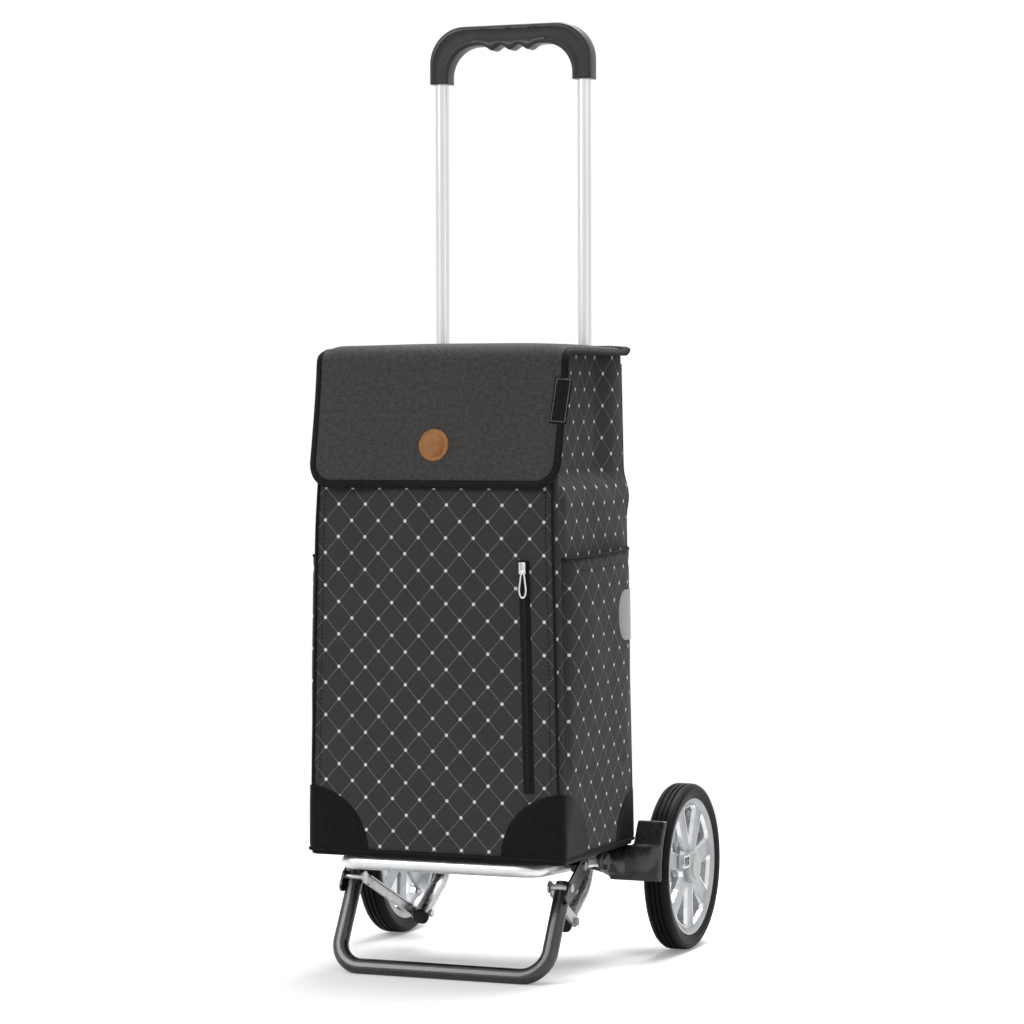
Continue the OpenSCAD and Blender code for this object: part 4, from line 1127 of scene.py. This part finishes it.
# ------------------------------------------------------------------ glossy housings, with moulded radii
def add_horn(bm, side):
    """The smooth horn that runs from the tube out into the tyre guard."""
    rings = []
    for x, y, z, ry, rz in ((0.100, 0.026, 0.1180, 0.011, 0.0105), (0.112, 0.022, 0.1170, 0.011, 0.0110),
                            (0.124, 0.017, 0.1150, 0.012, 0.0150), (0.136, 0.0145, 0.1140, 0.012, 0.0185),
                            (0.150, 0.0125, 0.1145, 0.010, 0.0205), (0.168, 0.0115, 0.1155, 0.008, 0.0215),
                            (0.186, 0.0112, 0.1160, 0.006, 0.0215), (0.196, 0.0112, 0.1160, 0.004, 0.0200)):
        ring = []
        for k in range(28):
            ca, sa = rounded(2 * math.pi * k / 28, 0.8)
            ring.append(bm.verts.new((side * x, y + ry * ca, z + rz * sa)))
        rings.append(ring)
    for a, b in zip(rings, rings[1:]):
        for k in range(28):
            k2 = (k + 1) % 28
            bm.faces.new((a[k], a[k2], b[k2], b[k]) if side > 0 else (b[k], b[k2], a[k2], a[k]))
    bm.faces.new(list(reversed(rings[0])) if side > 0 else rings[0])
    bm.faces.new(rings[-1] if side > 0 else list(reversed(rings[-1])))


# ------------------------------------------------- bevelled window frames, their brighter finish a painted highlight, and hub latch faces
def build_wheel_trim(name, side):
    lo, hi = cad_corners(f"rim_{name}")
    cx, cy, cz = (lo.x + hi.x) / 2, (lo.y + hi.y) / 2, (lo.z + hi.z) / 2
    outer_r, inner_r, spoke = 0.069, 0.027, 0.017
    pitch = math.sin(math.pi / 7)
    wide, narrow = outer_r * pitch - spoke / 2, inner_r * pitch - spoke / 2
    outline = [(inner_r, -narrow), ((inner_r + outer_r) / 2, -(wide + narrow) / 2), (outer_r - 0.001, -wide),
               (outer_r + 0.003, -wide + 0.005), (outer_r + 0.0038, 0), (outer_r + 0.003, wide - 0.005),
               (outer_r - 0.001, wide), ((inner_r + outer_r) / 2, (wide + narrow) / 2), (inner_r, narrow)]
    mid_x = sum(p[0] for p in outline) / len(outline)
    # scale and lift of each turn of the frame's section
    levels = ((1.05, 0.0092), (1.05, 0.0100), (0.99, 0.0104), (0.86, 0.0060), (0.84, -0.0010),
              (1.05, -0.0010))
    verts, faces = [], []
    for w in range(7):
        a = math.pi + w * 2 * math.pi / 7
        base = len(verts)
        for scale, lift in levels:
            for px, py in outline:
                x, y = mid_x + (px - mid_x) * scale, py * scale
                r_, t_ = x * math.cos(a) - y * math.sin(a), x * math.sin(a) + y * math.cos(a)
                verts.append(Vector((cx + side * lift, cy + t_, cz - r_)))
        faces += ring_faces(len(levels), len(outline), base, closed=True)
    frames = mesh_object(f"rim_window_frames_{name}", verts, faces)
    recalc_normals(frames)
    # the frames are the rim's real bevels; their brighter colour is painted highlight
    finish_object(frames, PAINTED_HIGHLIGHT_FACET, f"wheel_{name}", smooth_shade=False)

    lo, hi = cad_corners(f"hub_latch_{name}")
    face_x = hi.x if side > 0 else lo.x
    yc, zc = (lo.y + hi.y) / 2, (lo.z + hi.z) / 2
    hy, hz = (hi.y - lo.y) / 2 - 0.0026, (hi.z - lo.z) / 2 - 0.0026
    verts = []
    for grow, lift in ((1.0, -0.0012), (1.0, 0.0002), (0.86, 0.0008), (0.0, 0.0010)):
        for k in range(20):
            ca, sa = rounded(2 * math.pi * k / 20, 0.35)
            verts.append(Vector((face_x + side * (lift - 0.0010), yc + hy * grow * ca, zc + hz * grow * sa)))
    inlay = mesh_object(f"latch_inlay_{name}", verts, ring_faces(4, 20))
    bm = bmesh.new()
    bm.from_mesh(inlay.data)
    bmesh.ops.remove_doubles(bm, verts=bm.verts, dist=0.00001)
    bmesh.ops.recalc_face_normals(bm, faces=bm.faces)
    if bm.faces and sum(f.normal.x * f.calc_area() for f in bm.faces) * side < 0:
        bmesh.ops.reverse_faces(bm, faces=bm.faces)
    bm.to_mesh(inlay.data)
    bm.free()
    finish_object(inlay, GLOSS, f"hub_latch_{name}")


def build_housing(name):
    src = NODES[f"axle_housing_{name}"]
    mesh = src.data.copy()
    mesh.materials.clear()
    obj = bpy.data.objects.new(f"moulded_housing_{name}", mesh)
    bpy.context.scene.collection.objects.link(obj)
    bm = bmesh.new()
    bm.from_mesh(mesh)
    bmesh.ops.remove_doubles(bm, verts=bm.verts, dist=0.00002)
    add_horn(bm, 1 if name == "right" else -1)
    bm.to_mesh(mesh)
    bm.free()
    mod = obj.modifiers.new("remesh", "REMESH")
    mod.mode = "VOXEL"
    mod.voxel_size = 0.0014
    soft = obj.modifiers.new("soft", "SMOOTH")
    soft.factor = 0.5
    soft.iterations = 16
    apply_modifiers(obj)
    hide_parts(f"axle_housing_{name}")
    finish_object(obj, GLOSS, "frame")


# ------------------------------------------------------------------ build
build_bag()
reflectors = [build_pocket(-1, "left"), build_pocket(1, "right")]
reflector = join("reflector_films", reflectors)
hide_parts("reflector_patches")
finish_object(reflector, FILM, "frame", fold=True)
build_patches()
build_zip()
build_flap()
build_loops()
build_grip()
for label, sign in (("left", -1), ("right", 1)):
    build_housing(label)
    build_wheel_trim(label, sign)
slider = copy_cad("zip_slider", "chromed_zip_slider", 0.0003)
slider.data.transform(Matrix.Translation((0, -0.0006, 0)))
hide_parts("zip_slider")
finish_object(slider, CHROME, "zip_slider", smooth_shade=False, fold=True)
build_zip_pull()

CAD_LOOKS = {
    ALU: ("side_tube_left", "side_tube_right", "slide_tube_left", "slide_tube_right", "brace_upper",
          "brace_lower"),
    BRIGHT: ("carrying_bow",),
    STEEL: ("wheel_axle", "clamp_pins", "bow_pins", "link_pins", "stand_pivot_pins", "stand_link_rivets",
            "link_left", "link_right", "grip_screws", "bearings_left", "bearings_right"),
    CHROME: ("hub_latch_left", "hub_latch_right"),
    BLACK_STEEL: ("stand_bow", "stand_plates"),
    BLACK: ("tube_plug_left", "tube_plug_right", "clamp_collar_left", "clamp_collar_right",
            "clamp_lever_left", "clamp_lever_right", "tube_glides"),
    RUBBER: ("tyre_left", "tyre_right"),
    RIM: ("rim_left", "rim_right"),
    CAP: ("hub_cap_left", "hub_cap_right"),
}
for mat, names in CAD_LOOKS.items():
    for node in names:
        for slot in NODES[node].material_slots:
            slot.material = mat


# ------------------------------------------------------------------ camera, floor and light
def add_camera():
    cam = bpy.data.cameras.new("camera")
    cam.lens = 119.97
    cam.sensor_width = 36
    cam.clip_start, cam.clip_end = 0.05, 60
    obj = bpy.data.objects.new("camera", cam)
    bpy.context.scene.collection.objects.link(obj)
    az, pitch, roll = math.radians(22.36), math.radians(1.70), math.radians(-0.15)
    forward = Vector((-math.sin(az) * math.cos(pitch), math.cos(az) * math.cos(pitch), -math.sin(pitch)))
    rot = forward.to_track_quat("-Z", "Y").to_matrix() @ Matrix.Rotation(roll, 3, "Z")
    obj.matrix_world = Matrix.Translation((1.5618, -3.7660, 0.6506)) @ rot.to_4x4()
    bpy.context.scene.camera = obj


def add_area(name, place, target, size, power):
    light = bpy.data.lights.new(name, "AREA")
    light.shape = "RECTANGLE"
    light.size, light.size_y = size
    light.energy = power
    obj = bpy.data.objects.new(name, light)
    obj.location = place
    obj.rotation_euler = (Vector(target) - Vector(place)).to_track_quat("-Z", "Y").to_euler()
    bpy.context.scene.collection.objects.link(obj)


def add_stage():
    n = 8
    size = 9.0
    verts, faces = [], []
    for j in range(n + 1):
        for i in range(n + 1):
            verts.append((-size + 2 * size * i / n, -size + 2 * size * j / n, -0.0006))
    for j in range(n):
        for i in range(n):
            a = j * (n + 1) + i
            faces.append((a, a + 1, a + n + 2, a + n + 1))
    floor = mesh_object("pale_floor", verts, faces)
    mat, nodes, links, bsdf = new_material("pale_floor")
    bsdf.inputs["Roughness"].default_value = 0.75
    bsdf.inputs["Specular IOR Level"].default_value = 0.15
    coord = nodes.new("ShaderNodeTexCoord")
    tex = noise_tex(nodes, links, coord.outputs["Object"], 3.0)
    pale = ramp(nodes, links, tex, [(0.3, (0.93, 0.93, 0.93)), (0.7, (0.95, 0.95, 0.95))])
    links.new(pale, bsdf.inputs["Base Color"])
    # far away the floor fades into the white backdrop
    length = nodes.new("ShaderNodeVectorMath")
    length.operation = "LENGTH"
    links.new(coord.outputs["Object"], length.inputs[0])
    fade = ranged(nodes, links, length.outputs["Value"], 0.0, 1.0, 0.5, 1.5)
    clear = nodes.new("ShaderNodeBsdfTransparent")
    mix = nodes.new("ShaderNodeMixShader")
    links.new(fade, mix.inputs["Fac"])
    glow = nodes.new("ShaderNodeEmission")
    path = nodes.new("ShaderNodeLightPath")
    links.new(maths(nodes, links, "MULTIPLY", path.outputs["Is Camera Ray"], 0.22), glow.inputs["Strength"])
    both = nodes.new("ShaderNodeAddShader")
    links.new(bsdf.outputs["BSDF"], both.inputs[0])
    links.new(glow.outputs["Emission"], both.inputs[1])
    links.new(both.outputs["Shader"], mix.inputs[1])
    links.new(clear.outputs["BSDF"], mix.inputs[2])
    links.new(mix.outputs["Shader"], nodes["Material Output"].inputs["Surface"])
    floor.data.materials.append(mat)
    floor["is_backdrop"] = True

    world = bpy.data.worlds.new("studio")
    bpy.context.scene.world = world
    world.use_nodes = True
    nodes, links = world.node_tree.nodes, world.node_tree.links
    nodes.clear()
    out = nodes.new("ShaderNodeOutputWorld")
    seen = nodes.new("ShaderNodeBackground")
    seen.inputs["Strength"].default_value = 1.0
    seen.inputs["Color"].default_value = (1, 1, 1, 1)
    lit = nodes.new("ShaderNodeBackground")
    lit.inputs["Color"].default_value = (0.96, 0.98, 1.0, 1)
    lit.inputs["Strength"].default_value = 0.50
    path = nodes.new("ShaderNodeLightPath")
    either = maths(nodes, links, "MAXIMUM", path.outputs["Is Camera Ray"], path.outputs["Is Glossy Ray"])
    either = maths(nodes, links, "MAXIMUM", either, path.outputs["Is Transmission Ray"])
    mix = nodes.new("ShaderNodeMixShader")
    links.new(either, mix.inputs["Fac"])
    links.new(lit.outputs["Background"], mix.inputs[1])
    links.new(seen.outputs["Background"], mix.inputs[2])
    links.new(mix.outputs["Shader"], out.inputs["Surface"])
    add_area("key", (-1.9, -2.6, 2.4), (0, 0, 0.5), (1.6, 1.6), 50)
    add_area("fill", (2.8, -1.0, 1.2), (0, 0, 0.5), (1.0, 1.8), 3)
    add_area("top", (0.3, 0.9, 3.0), (0, 0, 0.6), (1.8, 1.8), 105)


add_camera()
add_stage()
bpy.context.scene.view_settings.view_transform = "Standard"


def as_list(value):
    return [as_list(v) for v in value] if hasattr(value, "__len__") else float(value)


{"cad": as_list(cad_box), "visual": as_list(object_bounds())}
